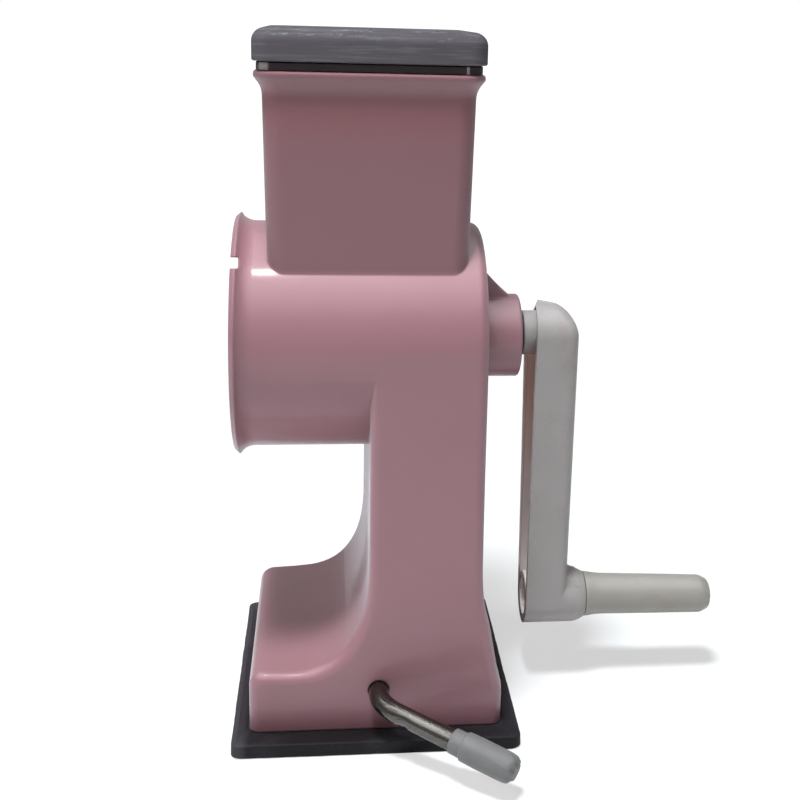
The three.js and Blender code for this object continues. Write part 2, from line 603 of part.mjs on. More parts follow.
function drumNut() {
  const lobe = new THREE.Shape();
  const steps = NUT_LOBES * 6;
  for (let i = 0; i < steps; i += 1) {
    const angle = (2 * Math.PI * i) / steps;
    const reach = NUT_RADIUS + 1.1 * Math.cos(NUT_LOBES * angle);
    const [y, z] = [reach * Math.cos(angle), AXIS_HEIGHT + reach * Math.sin(angle)];
    if (i === 0) lobe.moveTo(y, z);
    else lobe.lineTo(y, z);
  }
  const body = new THREE.ExtrudeGeometry(lobe, {
    depth: NUT_LENGTH - 2, bevelThickness: 1, bevelSize: 1, bevelOffset: -1, bevelSegments: 1,
  });
  body.applyMatrix4(alongX);
  body.translate(NUT_X + 1, 0, 0);
  const bore = rodX(THREAD_RADIUS + SEAT_GAP, NUT_X - 1, NUT_X + NUT_LENGTH + 1, 0, AXIS_HEIGHT, 24);
  return solid(body).subtract(bore);
}

// ---------------------------------------------------------------- grating drum
const SHEET_X0 = MOUTH_X + DRUM_FRONT;
const SHEET_X1 = BACK_INNER_X - RUN_GAP - END_WALL - SEAT_GAP;
const SHEET_INNER = DRUM_RADIUS - DRUM_SHEET;

// A steel sheet rolled into a drum. Each tooth is a ramp pressed up out of the sheet with its slot behind the
// sharp edge, and the rows are staggered by half a pitch.
function gratingDrum() {
  const sheet = tubeX(DRUM_RADIUS, SHEET_INNER, SHEET_X0, SHEET_X1, 0, AXIS_HEIGHT, 2 * TEETH_ROUND);
  const margin = DRUM_SLEEVE + TOOTH_WIDTH / 2 + 1;
  const pitch = (SHEET_X1 - SHEET_X0 - 2 * margin) / (TEETH_ROWS - 1);
  const flat = DRUM_RADIUS * Math.cos(Math.PI / (2 * TEETH_ROUND));
  const ramp = new THREE.Shape();
  ramp.moveTo(-TOOTH_RAMP, flat - DRUM_SHEET / 2);
  ramp.lineTo(0.5, flat - DRUM_SHEET / 2);
  ramp.lineTo(0.5, flat + TOOTH_RISE);
  ramp.lineTo(-TOOTH_RAMP, flat);
  const teeth = [];
  const slots = [];
  for (let row = 0; row < TEETH_ROWS; row += 1) {
    const x = SHEET_X0 + margin + row * pitch;
    for (let k = 0; k < TEETH_ROUND; k += 1) {
      const angle = ((k + (row % 2) / 2) * 2 * Math.PI) / TEETH_ROUND;
      const tooth = new THREE.ExtrudeGeometry(ramp, { depth: TOOTH_WIDTH, bevelEnabled: false });
      tooth.applyMatrix4(alongX);
      const slot = new THREE.BoxGeometry(TOOTH_WIDTH - 0.6, HOLE_LENGTH, 4 * DRUM_SHEET);
      slot.translate(TOOTH_WIDTH / 2, HOLE_LENGTH / 2 - 0.1, flat - 1.2 * DRUM_SHEET);
      for (const piece of [tooth, slot]) {
        piece.translate(x - TOOTH_WIDTH / 2, 0, 0);
        piece.rotateX(angle);
        piece.translate(0, 0, AXIS_HEIGHT);
      }
      teeth.push(solid(tooth));
      slots.push(solid(slot));
    }
  }
  return sheet.add(wasm.Manifold.union(teeth)).subtract(wasm.Manifold.union(slots));
}

function drumFrontRing() {
  const face = MOUTH_X + SEAT_GAP;
  const inner = SHEET_INNER - SEAT_GAP - END_WALL;
  return turnedX([
    [inner, face], [FRONT_RING_RADIUS - 0.8, face], [FRONT_RING_RADIUS, face + 0.8],
    [FRONT_RING_RADIUS, SHEET_X0 - SEAT_GAP], [SHEET_INNER - SEAT_GAP, SHEET_X0 - SEAT_GAP],
    [SHEET_INNER - SEAT_GAP, SHEET_X0 + DRUM_SLEEVE], [inner, SHEET_X0 + DRUM_SLEEVE], [inner, face],
  ], 0, AXIS_HEIGHT, FINE);
}

function drumBackHub() {
  const sleeve = SHEET_INNER - SEAT_GAP;
  const discX = SHEET_X1 + SEAT_GAP;
  const disc = turnedX([
    [0, discX], [sleeve - END_WALL, discX], [sleeve - END_WALL, SHEET_X1 - DRUM_SLEEVE],
    [sleeve, SHEET_X1 - DRUM_SLEEVE], [sleeve, discX], [DRUM_RADIUS, discX],
    [DRUM_RADIUS, discX + END_WALL], [0, discX + END_WALL],
  ], 0, AXIS_HEIGHT, FINE);
  const hub = rodX(HUB_RADIUS, HUB_FACE_X, HUB_SEAT_X, 0, AXIS_HEIGHT);
  const ribs = [0, 1, 2, 3, 4, 5].map((k) => {
    const rib = new THREE.BoxGeometry(DRUM_SLEEVE, END_WALL, sleeve - END_WALL - HUB_RADIUS + 2);
    rib.translate(SHEET_X1 - DRUM_SLEEVE / 2 + SEAT_GAP + SMALL, 0, (sleeve - END_WALL + HUB_RADIUS) / 2);
    rib.rotateX((k * Math.PI) / 3);
    rib.translate(0, 0, AXIS_HEIGHT);
    return solid(rib);
  });
  const socket = squareX(SQUARE + 2 * SEAT_GAP, HUB_FACE_X - 1, HUB_SEAT_X + 1);
  const flangeRoom = rodX(BUSH_FLANGE_RADIUS + RUN_GAP, HUB_SEAT_X, BACK_X, 0, AXIS_HEIGHT, 24);
  return joined(disc, hub, ...ribs).subtract(joined(socket, flangeRoom));
}

// ---------------------------------------------------------------- grip
const GRIP_X = FOOT_END_X + SEAT_GAP;

function crankGrip() {
  const end = GRIP_X + GRIP_LENGTH;
  const grip = turnedX([
    [0, GRIP_X], [GRIP_RADIUS - 0.4, GRIP_X], [GRIP_RADIUS, GRIP_X + 0.6], [GRIP_RADIUS, GRIP_X + 2],
    [GRIP_WAIST_RADIUS, GRIP_X + GRIP_WAIST], [GRIP_END_RADIUS, end - GRIP_ROUND],
    [GRIP_END_RADIUS - GRIP_ROUND * 0.3, end - GRIP_ROUND * 0.3],
    [GRIP_END_RADIUS - GRIP_ROUND, end], [0, end],
  ], 0, GRIP_HEIGHT, ROUND);
  const socketEnd = GRIP_X + SHANK_SOCKET + SEAT_GAP;
  return grip.subtract(rodX(SHANK_RADIUS + SEAT_GAP, GRIP_X - 1, socketEnd, 0, GRIP_HEIGHT, 20));
}

function gripShank() {
  const headX = ARM_OPEN_X + FOOT_RECESS_DEPTH - SEAT_GAP - SHANK_HEAD;
  const shank = turnedX([
    [0, headX], [SHANK_RADIUS - 0.4, headX], [SHANK_HEAD_RADIUS, headX + SHANK_HEAD * 0.7],
    [SHANK_HEAD_RADIUS, headX + SHANK_HEAD], [SHANK_RADIUS, headX + SHANK_HEAD],
    [SHANK_RADIUS, GRIP_X + SHANK_SOCKET], [0, GRIP_X + SHANK_SOCKET],
  ], 0, GRIP_HEIGHT, 20);
  const [slitLow, slitHigh] = [GRIP_HEIGHT - GRIP_RADIUS, GRIP_HEIGHT + GRIP_RADIUS];
  const slit = block(headX - 1, headX + 2 * SHANK_HEAD, -0.7, 0.7, slitLow, slitHigh);
  return shank.subtract(slit);
}

// ---------------------------------------------------------------- suction lever
const NEAR_FACE_Y = -BASE_DEPTH / 2;
const CORNER = new THREE.Vector3(LEVER_X, NEAR_FACE_Y - LEVER_CORNER, LEVER_HEIGHT);
const bend = THREE.MathUtils.degToRad(LEVER_BEND);
const drop = THREE.MathUtils.degToRad(LEVER_DROP);
const outwards = new THREE.Vector3(Math.cos(drop), 0, -Math.sin(drop));
const armWay = new THREE.Vector3(0, -Math.cos(bend), 0).addScaledVector(outwards, Math.sin(bend));
const ROD_FAR_Y = BASE_DEPTH / 2 - WALL - 2 - SEAT_GAP;

// A round bar with one bend: the shaft along Y, an arc, and the arm that carries the cap.
function leverRod() {
  const section = new THREE.Shape().absarc(0, 0, LEVER_ROD_RADIUS, 0, 2 * Math.PI);
  const circle = section.extractPoints(8).shape;
  circle.pop();
  const across = new THREE.Vector3().crossVectors(outwards, unit.y);
  const ringAt = (centre, angle) => {
    const radial = outwards.clone().multiplyScalar(Math.cos(angle)).addScaledVector(unit.y, Math.sin(angle));
    return circle.map((point) => (
      centre.clone().addScaledVector(radial, point.x).addScaledVector(across, point.y)
    ));
  };
  const tangent = LEVER_BEND_RADIUS * Math.tan(bend / 2);
  const centre = CORNER.clone().addScaledVector(unit.y, tangent).addScaledVector(outwards, LEVER_BEND_RADIUS);
  const rings = [ringAt(new THREE.Vector3(LEVER_X, ROD_FAR_Y, LEVER_HEIGHT), 0)];
  const steps = 6;
  for (let i = 0; i <= steps; i += 1) {
    const angle = (bend * i) / steps;
    const place = centre.clone()
      .addScaledVector(outwards, -LEVER_BEND_RADIUS * Math.cos(angle))
      .addScaledVector(unit.y, -LEVER_BEND_RADIUS * Math.sin(angle));
    rings.push(ringAt(place, angle));
  }
  rings.push(ringAt(CORNER.clone().addScaledVector(armWay, LEVER_ARM), bend));
  const pinHole = rodZ(CAM_PIN_RADIUS + SEAT_GAP, 0, BASE_TOP + LIFT, LEVER_X, 0, 12);
  return solid(skinned(rings, circle)).subtract(pinHole);
}

// A piece turned about the lever's arm; the profile is [radius, distance from the corner] pairs.
function turnedOnArm(profile) {
  const points = profile.map(([radius, along]) => new THREE.Vector2(radius, along));
  const lathe = new THREE.LatheGeometry(points, 20);
  lathe.applyQuaternion(new THREE.Quaternion().setFromUnitVectors(unit.y, armWay));
  lathe.translate(CORNER.x, CORNER.y, CORNER.z);
  return solid(lathe);
}

function leverCap() {
  const shoulder = LEVER_CAP_START + LEVER_COLLAR;
  const cap = turnedOnArm([
    [0, LEVER_CAP_START], [LEVER_COLLAR_RADIUS, LEVER_CAP_START], [LEVER_COLLAR_RADIUS + 0.2, shoulder],
    [LEVER_CAP_RADIUS - 0.5, shoulder], [LEVER_CAP_RADIUS, shoulder + 1],
    [LEVER_CAP_RADIUS, LEVER_CAP_END - 4.5], [LEVER_CAP_RADIUS * 0.9, LEVER_CAP_END - 2.2],
    [LEVER_CAP_RADIUS * 0.62, LEVER_CAP_END - 0.6], [0, LEVER_CAP_END],
  ]);
  const [boreRadius, boreEnd] = [LEVER_ROD_RADIUS + SEAT_GAP, LEVER_ARM + SEAT_GAP];
  return cap.subtract(turnedOnArm([
    [0, LEVER_CAP_START - 1], [boreRadius, LEVER_CAP_START - 1], [boreRadius, boreEnd], [0, boreEnd],
  ]));
}

// A spiral cam: its radius grows at a constant rate over the lever's turn, then falls back to the start.
function liftCam() {
  const shape = new THREE.Shape();
  const turn = THREE.MathUtils.degToRad(LEVER_TURN);
  for (let i = 0; i < CAM_STEPS; i += 1) {
    const angle = (2 * Math.PI * i) / CAM_STEPS;
    const rise = angle <= turn ? angle / turn : (2 * Math.PI - angle) / (2 * Math.PI - turn);
    const reach = CAM_LOW_RADIUS + LIFT * rise;
    const [x, z] = [LEVER_X + reach * Math.sin(angle), LEVER_HEIGHT + reach * Math.cos(angle)];
    if (i === 0) shape.moveTo(x, z);
    else shape.lineTo(x, z);
  }
  const body = new THREE.ExtrudeGeometry(shape, { depth: CAM_THICK, bevelEnabled: false });
  body.applyMatrix4(alongY);
  body.translate(0, CAM_THICK / 2, 0);
  const bore = rodY(LEVER_ROD_RADIUS + SEAT_GAP, -CAM_THICK, CAM_THICK, LEVER_X, LEVER_HEIGHT, 20);
  const pinHole = rodZ(CAM_PIN_RADIUS + SEAT_GAP, 0, BASE_TOP + LIFT, LEVER_X, 0, 12);
  return solid(body).subtract(joined(bore, pinHole));
}

function camPin() {
  const reach = CAM_LOW_RADIUS - CAM_PIN_END;
  return rodZ(CAM_PIN_RADIUS, LEVER_HEIGHT - reach, LEVER_HEIGHT + reach, LEVER_X, 0, 12);
}

function rodClip() {
  const y0 = NEAR_FACE_Y + WALL + LEVER_BOSS_LENGTH + SEAT_GAP;
  const y1 = y0 + CLIP_THICK;
  const ring = rodY(CLIP_RADIUS, y0, y1, LEVER_X, LEVER_HEIGHT, 20);
  const inner = rodY(LEVER_ROD_RADIUS + SEAT_GAP, y0 - 1, y1 + 1, LEVER_X, LEVER_HEIGHT, 20);
  const mouth = block(LEVER_X - 2, LEVER_X + 2, y0 - 1, y1 + 1, LEVER_HEIGHT - 2 * CLIP_RADIUS, LEVER_HEIGHT);
  return ring.subtract(joined(inner, mouth));
}

// ---------------------------------------------------------------- suction pad and what lifts its middle
const STUD_PLATE_Z = PAD_CENTRE_THICK + SEAT_GAP;
const YOKE_Z = STUD_PLATE_Z + STUD_PLATE_THICK + SEAT_GAP;

function suctionPad() {
  const plate = flaredBox({
    x: BASE_X, width: PAD_LENGTH, depth: PAD_DEPTH, corner: PAD_CORNER, z0: 0,
    levels: [0, PAD_THICK - PAD_BEVEL, PAD_THICK], grow: (level) => (level === PAD_THICK ? -PAD_BEVEL : 0),
  });
  const border = 2 * (PAD_BEVEL + PAD_RIM);
  const dishMouth = roundedRectangle(PAD_LENGTH - border, PAD_DEPTH - border, PAD_CORNER);
  const dishFloor = roundedRectangle(
    BASE_LENGTH + 2 * PAD_SEAT_MARGIN, BASE_DEPTH + 2 * PAD_SEAT_MARGIN, PAD_CORNER,
  );
  const dish = lofted([[dishFloor, PAD_SEAT], [dishMouth, PAD_THICK], [dishMouth, PAD_THICK + 1]], 3);
  dish.translate(BASE_X, 0, 0);
  const width = BASE_LENGTH - 2 * WALL - 2 * RUN_GAP;
  const depth = BASE_DEPTH - 2 * WALL - 2 * RUN_GAP;
  const corner = EDGE_ROUND - WALL;
  const ridgeTop = PAD_SEAT + PAD_RING_HEIGHT;
  const ridge = straightBox({ x: BASE_X, width, depth, corner, z0: PAD_SEAT - SMALL, z1: ridgeTop });
  const ridgeInner = straightBox({
    x: BASE_X, width: width - 2 * PAD_RING_WIDTH, depth: depth - 2 * PAD_RING_WIDTH,
    corner: corner - 1, z0: PAD_SEAT, z1: ridgeTop + 1,
  });
  const seat = rodZ(STUD_PLATE_RADIUS + SEAT_GAP, PAD_CENTRE_THICK, PAD_THICK, 0, 0);
  const button = rodZ(CUP_BUTTON_RADIUS, -1, CUP_DEPTH + 1, 0, 0);
  const cup = rodZ(CUP_RADIUS, -1, CUP_DEPTH, 0, 0, FINE).subtract(button);
  const headRoom = rodZ(
    SCREW_HEAD_RADIUS + SEAT_GAP, PAD_CENTRE_THICK - SCREW_HEAD - SEAT_GAP, PAD_THICK, 0, 0, 16,
  );
  return plate.subtract(solid(dish)).add(ridge.subtract(ridgeInner)).subtract(joined(seat, cup, headRoom));
}

function studPlate() {
  const disc = rodZ(STUD_PLATE_RADIUS, STUD_PLATE_Z, STUD_PLATE_Z + STUD_PLATE_THICK, 0, 0);
  return disc.subtract(rodZ(SCREW_RADIUS + SEAT_GAP, 0, YOKE_Z, 0, 0, 16));
}

function studScrew() {
  const headTop = STUD_PLATE_Z - SEAT_GAP;
  const head = rodZ(SCREW_HEAD_RADIUS, headTop - SCREW_HEAD, headTop, 0, 0, 16);
  return head.add(rodZ(SCREW_RADIUS, headTop - SMALL, YOKE_Z + YOKE_BAR - 2 * SEAT_GAP, 0, 0, 16));
}

// A stirrup: the rod and cam pass through its window, and the cam bears on its top bar.
function liftYoke() {
  const half = YOKE_WIDTH / 2;
  const inner = CAM_THICK / 2 + RUN_GAP;
  const windowTop = LEVER_HEIGHT + CAM_LOW_RADIUS + CAM_GAP;
  const windowBottom = YOKE_Z + YOKE_BAR;
  const frame = block(-half, half, -inner - YOKE_SIDE, inner + YOKE_SIDE, YOKE_Z, windowTop + YOKE_BAR);
  const window = block(-half - 1, half + 1, -inner, inner, windowBottom, windowTop);
  const slot = block(
    -LEVER_ROD_RADIUS - RUN_GAP, LEVER_ROD_RADIUS + RUN_GAP, -BASE_DEPTH, BASE_DEPTH,
    LEVER_HEIGHT - LEVER_ROD_RADIUS - LIFT - RUN_GAP, LEVER_HEIGHT + LEVER_ROD_RADIUS + RUN_GAP,
  );
  const screwHole = rodZ(SCREW_RADIUS + SEAT_GAP, YOKE_Z - 1, YOKE_Z + YOKE_BAR - SEAT_GAP, 0, 0, 16);
  return frame.subtract(joined(window, slot, screwHole));
}

// ---------------------------------------------------------------- the assembly
const group = new THREE.Group();
group.add(
  meshOf('body_housing', housing(), 'pink'),
  meshOf('bearing_bush', bearingBush(), 'nylon'),
  meshOf('suction_pad', suctionPad(), 'black'),
  meshOf('pusher_cap', pusherCap(), 'grey'),
  meshOf('pusher_plunger', pusherPlunger(), 'dark'),
  meshOf('crank_arm', crankArm(), 'ivory'),
  meshOf('drive_shaft', driveShaft(), 'steel'),
  meshOf('thrust_washer', thrustWasher(), 'black'),
  meshOf('grating_drum', gratingDrum(), 'steel'),
  meshOf('drum_front_ring', drumFrontRing(), 'ivory'),
  meshOf('drum_back_hub', drumBackHub(), 'ivory'),
  meshOf('drum_nut', drumNut(), 'ivory'),
  meshOf('crank_grip', crankGrip(), 'ivory'),
  meshOf('grip_shank', gripShank(), 'ivory'),
  meshOf('lever_rod', leverRod(), 'bright'),
  meshOf('lever_cap', leverCap(), 'cloudy'),
  meshOf('lift_cam', liftCam(), 'nylon'),
  meshOf('cam_pin', camPin(), 'steel'),
  meshOf('rod_clip', rodClip(), 'steel'),
  meshOf('lift_yoke', liftYoke(), 'nylon'),
  meshOf('stud_plate', studPlate(), 'steel'),
  meshOf('stud_screw', studScrew(), 'steel'),
);

export default group;
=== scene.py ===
import math

import bmesh
import bpy
from mathutils import Matrix, Vector, noise


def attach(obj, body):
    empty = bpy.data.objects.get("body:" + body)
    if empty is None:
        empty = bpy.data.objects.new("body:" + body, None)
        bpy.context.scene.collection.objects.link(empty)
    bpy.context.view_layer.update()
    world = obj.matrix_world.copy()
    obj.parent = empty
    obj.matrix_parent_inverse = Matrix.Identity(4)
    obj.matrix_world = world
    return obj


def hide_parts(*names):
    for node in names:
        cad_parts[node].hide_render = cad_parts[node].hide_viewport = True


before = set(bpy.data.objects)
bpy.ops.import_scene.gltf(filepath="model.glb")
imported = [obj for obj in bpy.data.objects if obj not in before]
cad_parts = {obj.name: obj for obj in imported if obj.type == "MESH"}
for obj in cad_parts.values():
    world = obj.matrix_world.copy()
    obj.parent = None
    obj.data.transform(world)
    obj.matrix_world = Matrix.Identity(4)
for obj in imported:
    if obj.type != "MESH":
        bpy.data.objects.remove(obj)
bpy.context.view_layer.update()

scene = bpy.context.scene


# ---------------------------------------------------------------- suction pad
# A sheet of black rubber with a thicker border, moulded in one piece with the ridge that keeps the
# base's rim in place. It is slack until its middle is pulled up, which holds it to the table.
MM = 0.001
BASE_X = -0.7 * MM  # middle of pad and base, along the crank's axis


class Wire:
    """A value in a material; sums and products of it add Math nodes."""

    def __init__(self, finish, socket):
        self.finish, self.socket = finish, socket

    def _maths(self, operation, *values):
        return self.finish.node("Math", {"operation": operation}, dict(enumerate(values)))

    def __add__(self, other):
        return self._maths("ADD", self, other)

    def __sub__(self, other):
        return self._maths("SUBTRACT", self, other)

    def __rsub__(self, other):
        return self._maths("SUBTRACT", other, self)

    def __mul__(self, other):
        return self._maths("MULTIPLY", self, other)

    __radd__ = __add__
    __rmul__ = __mul__


class Finish:
    """A surface finish: one Principled shader and the nodes that feed it."""

    def __init__(self, name, **constants):
        self.material = bpy.data.materials.new(name)
        self.material.use_nodes = True
        self.tree = self.material.node_tree
        self.shader = self.tree.nodes["Principled BSDF"]
        self.place = self.node("TexCoord", out="Object")
        self.feed(**constants)

    def node(self, kind, settings=None, sockets=None, out=0):
        """Adds a node: its settings are set first, then its sockets; gives one of its outputs."""
        made = self.tree.nodes.new("ShaderNode" + kind)
        for key, value in (settings or {}).items():
            setattr(made, key, value)
        for key, value in (sockets or {}).items():
            self.join(made.inputs[key], value)
        return Wire(self, made.outputs[out])

    def join(self, socket, value):
        """Links a node's output to a socket, or sets the socket to a plain value."""
        if isinstance(value, Wire):
            self.tree.links.new(value.socket, socket)
        else:
            socket.default_value = value

    def feed(self, **values):
        """Joins values to the shader's own sockets, named with _ for each space."""
        for key, value in values.items():
            self.join(self.shader.inputs[key.replace("_", " ")], value)

    def grain(self, scale, stretch=(1, 1, 1), detail=3, rough=0.5, shift=(0, 0, 0), turn=0.0):
        """Noise with this many features to the metre, turned about the upright and stretched along the axes."""
        place = self.node("Mapping", {"vector_type": "TEXTURE"}, {
            "Vector": self.place, "Rotation": (0, 0, turn)})
        place = self.node("Mapping", None, {"Vector": place, "Location": shift, "Scale": stretch})
        return self.node("TexNoise", None, {
            "Vector": place, "Scale": scale, "Detail": detail, "Roughness": rough})

    def step(self, value, low, high):
        """0 below low and 1 above high, rising smoothly between them."""
        return self.node("MapRange", {"interpolation_type": "SMOOTHSTEP"}, {
            "Value": value, "From Min": low, "From Max": high})

    def band(self, value, low, full, fade, high):
        """1 between full and fade, and 0 outside low and high."""
        return self.step(value, low, full) * (1 - self.step(value, fade, high))

    def greater(self, one, other):
        """The greater of two values."""
        return self.node("Math", {"operation": "MAXIMUM"}, {0: one, 1: other})

    def reach(self, one, other):
        """How far a point lies from a line, from its two distances across it."""
        across = self.node("CombineXYZ", None, {0: one, 1: other})
        return self.node("VectorMath", {"operation": "LENGTH"}, {0: across}, out="Value")

    def rounded(self, radius, samples=6):
        """The surface's direction, with sharp edges shown as rounded."""
        return self.node("Bevel", {"samples": samples}, {"Radius": radius})

    def height(self, axis):
        """Where a point lies along an axis, in metres."""
        return self.node("SeparateXYZ", None, {0: self.place}, out=axis)

    def tint(self, share, plain, other):
        """One colour changing to another as the share goes from 0 to 1."""
        return self.node("Mix", {"data_type": "RGBA"}, {0: share, 6: plain, 7: other}, out=2)

    def bump(self, height, depth, under=None):
        """Raises the surface by up to depth metres, on top of another normal."""
        sockets = {"Height": height, "Distance": depth, "Strength": 1.0}
        if under is not None:
            sockets["Normal"] = under
        return self.node("Bump", None, sockets)


def colour(red, green, blue):
    """A colour given as 0 to 255 on a screen, as linear light."""
    def light(value):
        share = value / 255
        return share / 12.92 if share <= 0.04045 else ((share + 0.055) / 1.055) ** 2.4
    return (light(red), light(green), light(blue), 1)


def piece(name, shape, finish, body, nodes, crease=32):
    """Makes a finished mesh into an object that rides on a body and stands for its plain solids."""
    bmesh.ops.remove_doubles(shape, verts=shape.verts, dist=1e-6)
    mesh = bpy.data.meshes.new(name)
    shape.to_mesh(mesh)
    shape.free()
    mesh.shade_smooth()
    mesh.set_sharp_from_angle(angle=math.radians(crease))
    mesh.materials.append(finish.material)
    thing = bpy.data.objects.new(name, mesh)
    scene.collection.objects.link(thing)
    level = thing.modifiers.new("even faces", "WEIGHTED_NORMAL")
    level.keep_sharp = True
    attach(thing, body)
    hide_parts(*nodes)
    return thing


def verts_of(made):
    """The vertices among what an operator made."""
    return [item for item in made if isinstance(item, bmesh.types.BMVert)]


def edges_between(verts):
    """The edges with both their ends among some vertices, always in the same order."""
    held = set(verts)
    around = dict.fromkeys(edge for v in verts for edge in v.link_edges)
    return [edge for edge in around if all(v in held for v in edge.verts)]


def rounded_ring(shape, middle, width, depth, corner, z, arc=6):
    """A level ring of edges: a rectangle with rounded corners."""
    face_verts = bmesh.ops.create_grid(shape, x_segments=1, y_segments=1, size=0.5)["verts"]
    face = face_verts[0].link_faces[0]
    bmesh.ops.scale(shape, vec=(width, depth, 1), verts=face_verts)
    bmesh.ops.translate(shape, vec=(middle[0], middle[1], z), verts=face_verts)
    bmesh.ops.bevel(shape, geom=face_verts, offset=corner, segments=arc, profile=0.5,
                    affect="VERTICES", material=-1)
    face = next(f for f in shape.faces if abs(f.calc_center_median().z - z) < 1e-6 and len(f.verts) > 4)
    edges = list(face.edges)
    bmesh.ops.delete(shape, geom=[face], context="FACES_ONLY")
    return edges


def pull(shape, edges, z, width=None, depth=None):
    """Extrudes a level ring to another height and size; returns the new ring."""
    verts = verts_of(bmesh.ops.extrude_edge_only(shape, edges=edges)["geom"])
    low = Vector(min(v.co[k] for v in verts) for k in range(3))
    high = Vector(max(v.co[k] for v in verts) for k in range(3))
    middle = (low + high) / 2
    wider = 1 if width is None else width / (high.x - low.x)
    deeper = 1 if depth is None else depth / (high.y - low.y)
    bmesh.ops.scale(shape, vec=(wider, deeper, 1), verts=verts, space=Matrix.Translation(-middle))
    bmesh.ops.translate(shape, vec=(0, 0, z - middle.z), verts=verts)
    return edges_between(verts)


def flat_fill(shape, *rings):
    """Closes a flat ring, or the flat band between two rings."""
    bmesh.ops.triangle_fill(shape, edges=[edge for ring in rings for edge in ring], use_beauty=True)


def disc(shape, middle, radius, z, facets=96):
    """A level circle of edges."""
    verts = bmesh.ops.create_circle(shape, cap_ends=False, segments=facets, radius=radius)["verts"]
    bmesh.ops.translate(shape, vec=(middle[0], middle[1], z), verts=verts)
    return edges_between(verts)


PAD_LENGTH, PAD_DEPTH = 121 * MM, 130.8 * MM
PAD_SEAT = 3.6 * MM
SEAT_LENGTH, SEAT_DEPTH = 108.6 * MM, 105 * MM  # where the base stands on it
RIDGE_LENGTH, RIDGE_DEPTH = 100.2 * MM, 96.6 * MM

rubber = bmesh.new()
ring = rounded_ring(rubber, (BASE_X, 0), PAD_LENGTH - 1.4 * MM, PAD_DEPTH - 1.4 * MM, 4 * MM, 0)
sides = [edge for edge in ring if edge.calc_length() > 50 * MM]
bmesh.ops.subdivide_edges(rubber, edges=sides, cuts=60)
ring = list(rubber.edges)
underside = ring
for z, inset in ((0.2, 0.45), (0.7, 0), (5.2, 0.1), (5.65, 0.35), (5.95, 0.95), (6.0, 1.6), (5.95, 2.3)):
    ring = pull(rubber, ring, z * MM, PAD_LENGTH - 2 * inset * MM, PAD_DEPTH - 2 * inset * MM)
for z, share in ((5.5, 0.2), (4.6, 0.6), (3.85, 0.92), (3.6, 1)):
    ring = pull(rubber, ring, z * MM, (PAD_LENGTH - 4.6 * MM) * (1 - share) + SEAT_LENGTH * share,
                (PAD_DEPTH - 4.6 * MM) * (1 - share) + SEAT_DEPTH * share)
ring = pull(rubber, ring, PAD_SEAT, RIDGE_LENGTH, RIDGE_DEPTH)
for z, inset in ((6.9, 0.1), (7.2, 0.5), (7.2, 2.5), (6.9, 2.9), (3.6, 3)):
    ring = pull(rubber, ring, z * MM, RIDGE_LENGTH - 2 * inset * MM, RIDGE_DEPTH - 2 * inset * MM)
well = disc(rubber, (0, 0), 3.9 * MM, PAD_SEAT, 32)
flat_fill(rubber, ring, well)
flat_fill(rubber, pull(rubber, well, 1.6 * MM))
cup = disc(rubber, (0, 0), 48 * MM, 0)
flat_fill(rubber, underside, cup)
cup = pull(rubber, cup, 0.8 * MM, 95.2 * MM, 95.2 * MM)
button = disc(rubber, (0, 0), 16.4 * MM, 0.8 * MM)
flat_fill(rubber, cup, button)
flat_fill(rubber, pull(rubber, button, 0, 32 * MM, 32 * MM))
# The border's edge wanders a little.
for v in rubber.verts:
    out = max(abs(v.co.x - BASE_X) / (PAD_LENGTH / 2), abs(v.co.y) / (PAD_DEPTH / 2))
    if out > 0.96:
        sway = 0.25 + 0.5 * noise.noise(Vector((v.co.x, v.co.y, 0)) * 60) + max(
            0, noise.noise(Vector((v.co.x, v.co.y, 9)) * 240)) * 0.5
        toward = Vector((v.co.x - BASE_X, v.co.y, 0)).normalized()
        v.co -= toward * max(0.0, sway) * 0.5 * MM
bmesh.ops.remove_doubles(rubber, verts=rubber.verts, dist=1e-6)
bmesh.ops.recalc_face_normals(rubber, faces=rubber.faces)

black_rubber = Finish("black rubber", Specular_IOR_Level=0.2)
dust = black_rubber.step(black_rubber.grain(26, detail=5, rough=0.65), 0.42, 0.78)
# The pad's left border is painted lighter: painted light falling on it from the left.
left_side_light = 1 - black_rubber.step(black_rubber.height(0), -0.0575, -0.0535)
speck = black_rubber.step(black_rubber.grain(900, detail=2), 0.66, 0.74)
black_rubber.feed(
    Base_Color=black_rubber.tint(dust * 0.3 + speck * 0.3 + left_side_light * 0.5,
                                 colour(15, 13, 17), colour(72, 67, 71)),
    Roughness=0.62 + dust * 0.2 - speck * 0.1,
    Normal=black_rubber.bump(black_rubber.grain(2600, detail=4, rough=0.6) + speck * 0.8, 0.00005))
piece("suction_pad_rubber", rubber, black_rubber, "housing", ["suction_pad"])


# ---------------------------------------------------------------- lift plate and yoke
# A zinc-plated steel disc is bonded to the middle of the pad, and a screw holds the nylon yoke on it.
# The yoke's window hangs round the lever's axle, which pulls plate and rubber up.
def dress(node, finish, bevel=0.25):
    """Keeps a plain solid and gives it a finish and slightly broken edges."""
    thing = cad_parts[node]
    thing.data.materials.clear()
    thing.data.materials.append(finish.material)
    weld = thing.modifiers.new("weld", "WELD")
    weld.merge_threshold = 1e-5
    edges = thing.modifiers.new("edges", "BEVEL")
    edges.width = bevel * MM
    edges.segments = 2
    edges.limit_method = "ANGLE"
    edges.angle_limit = math.radians(40)
    edges.harden_normals = True


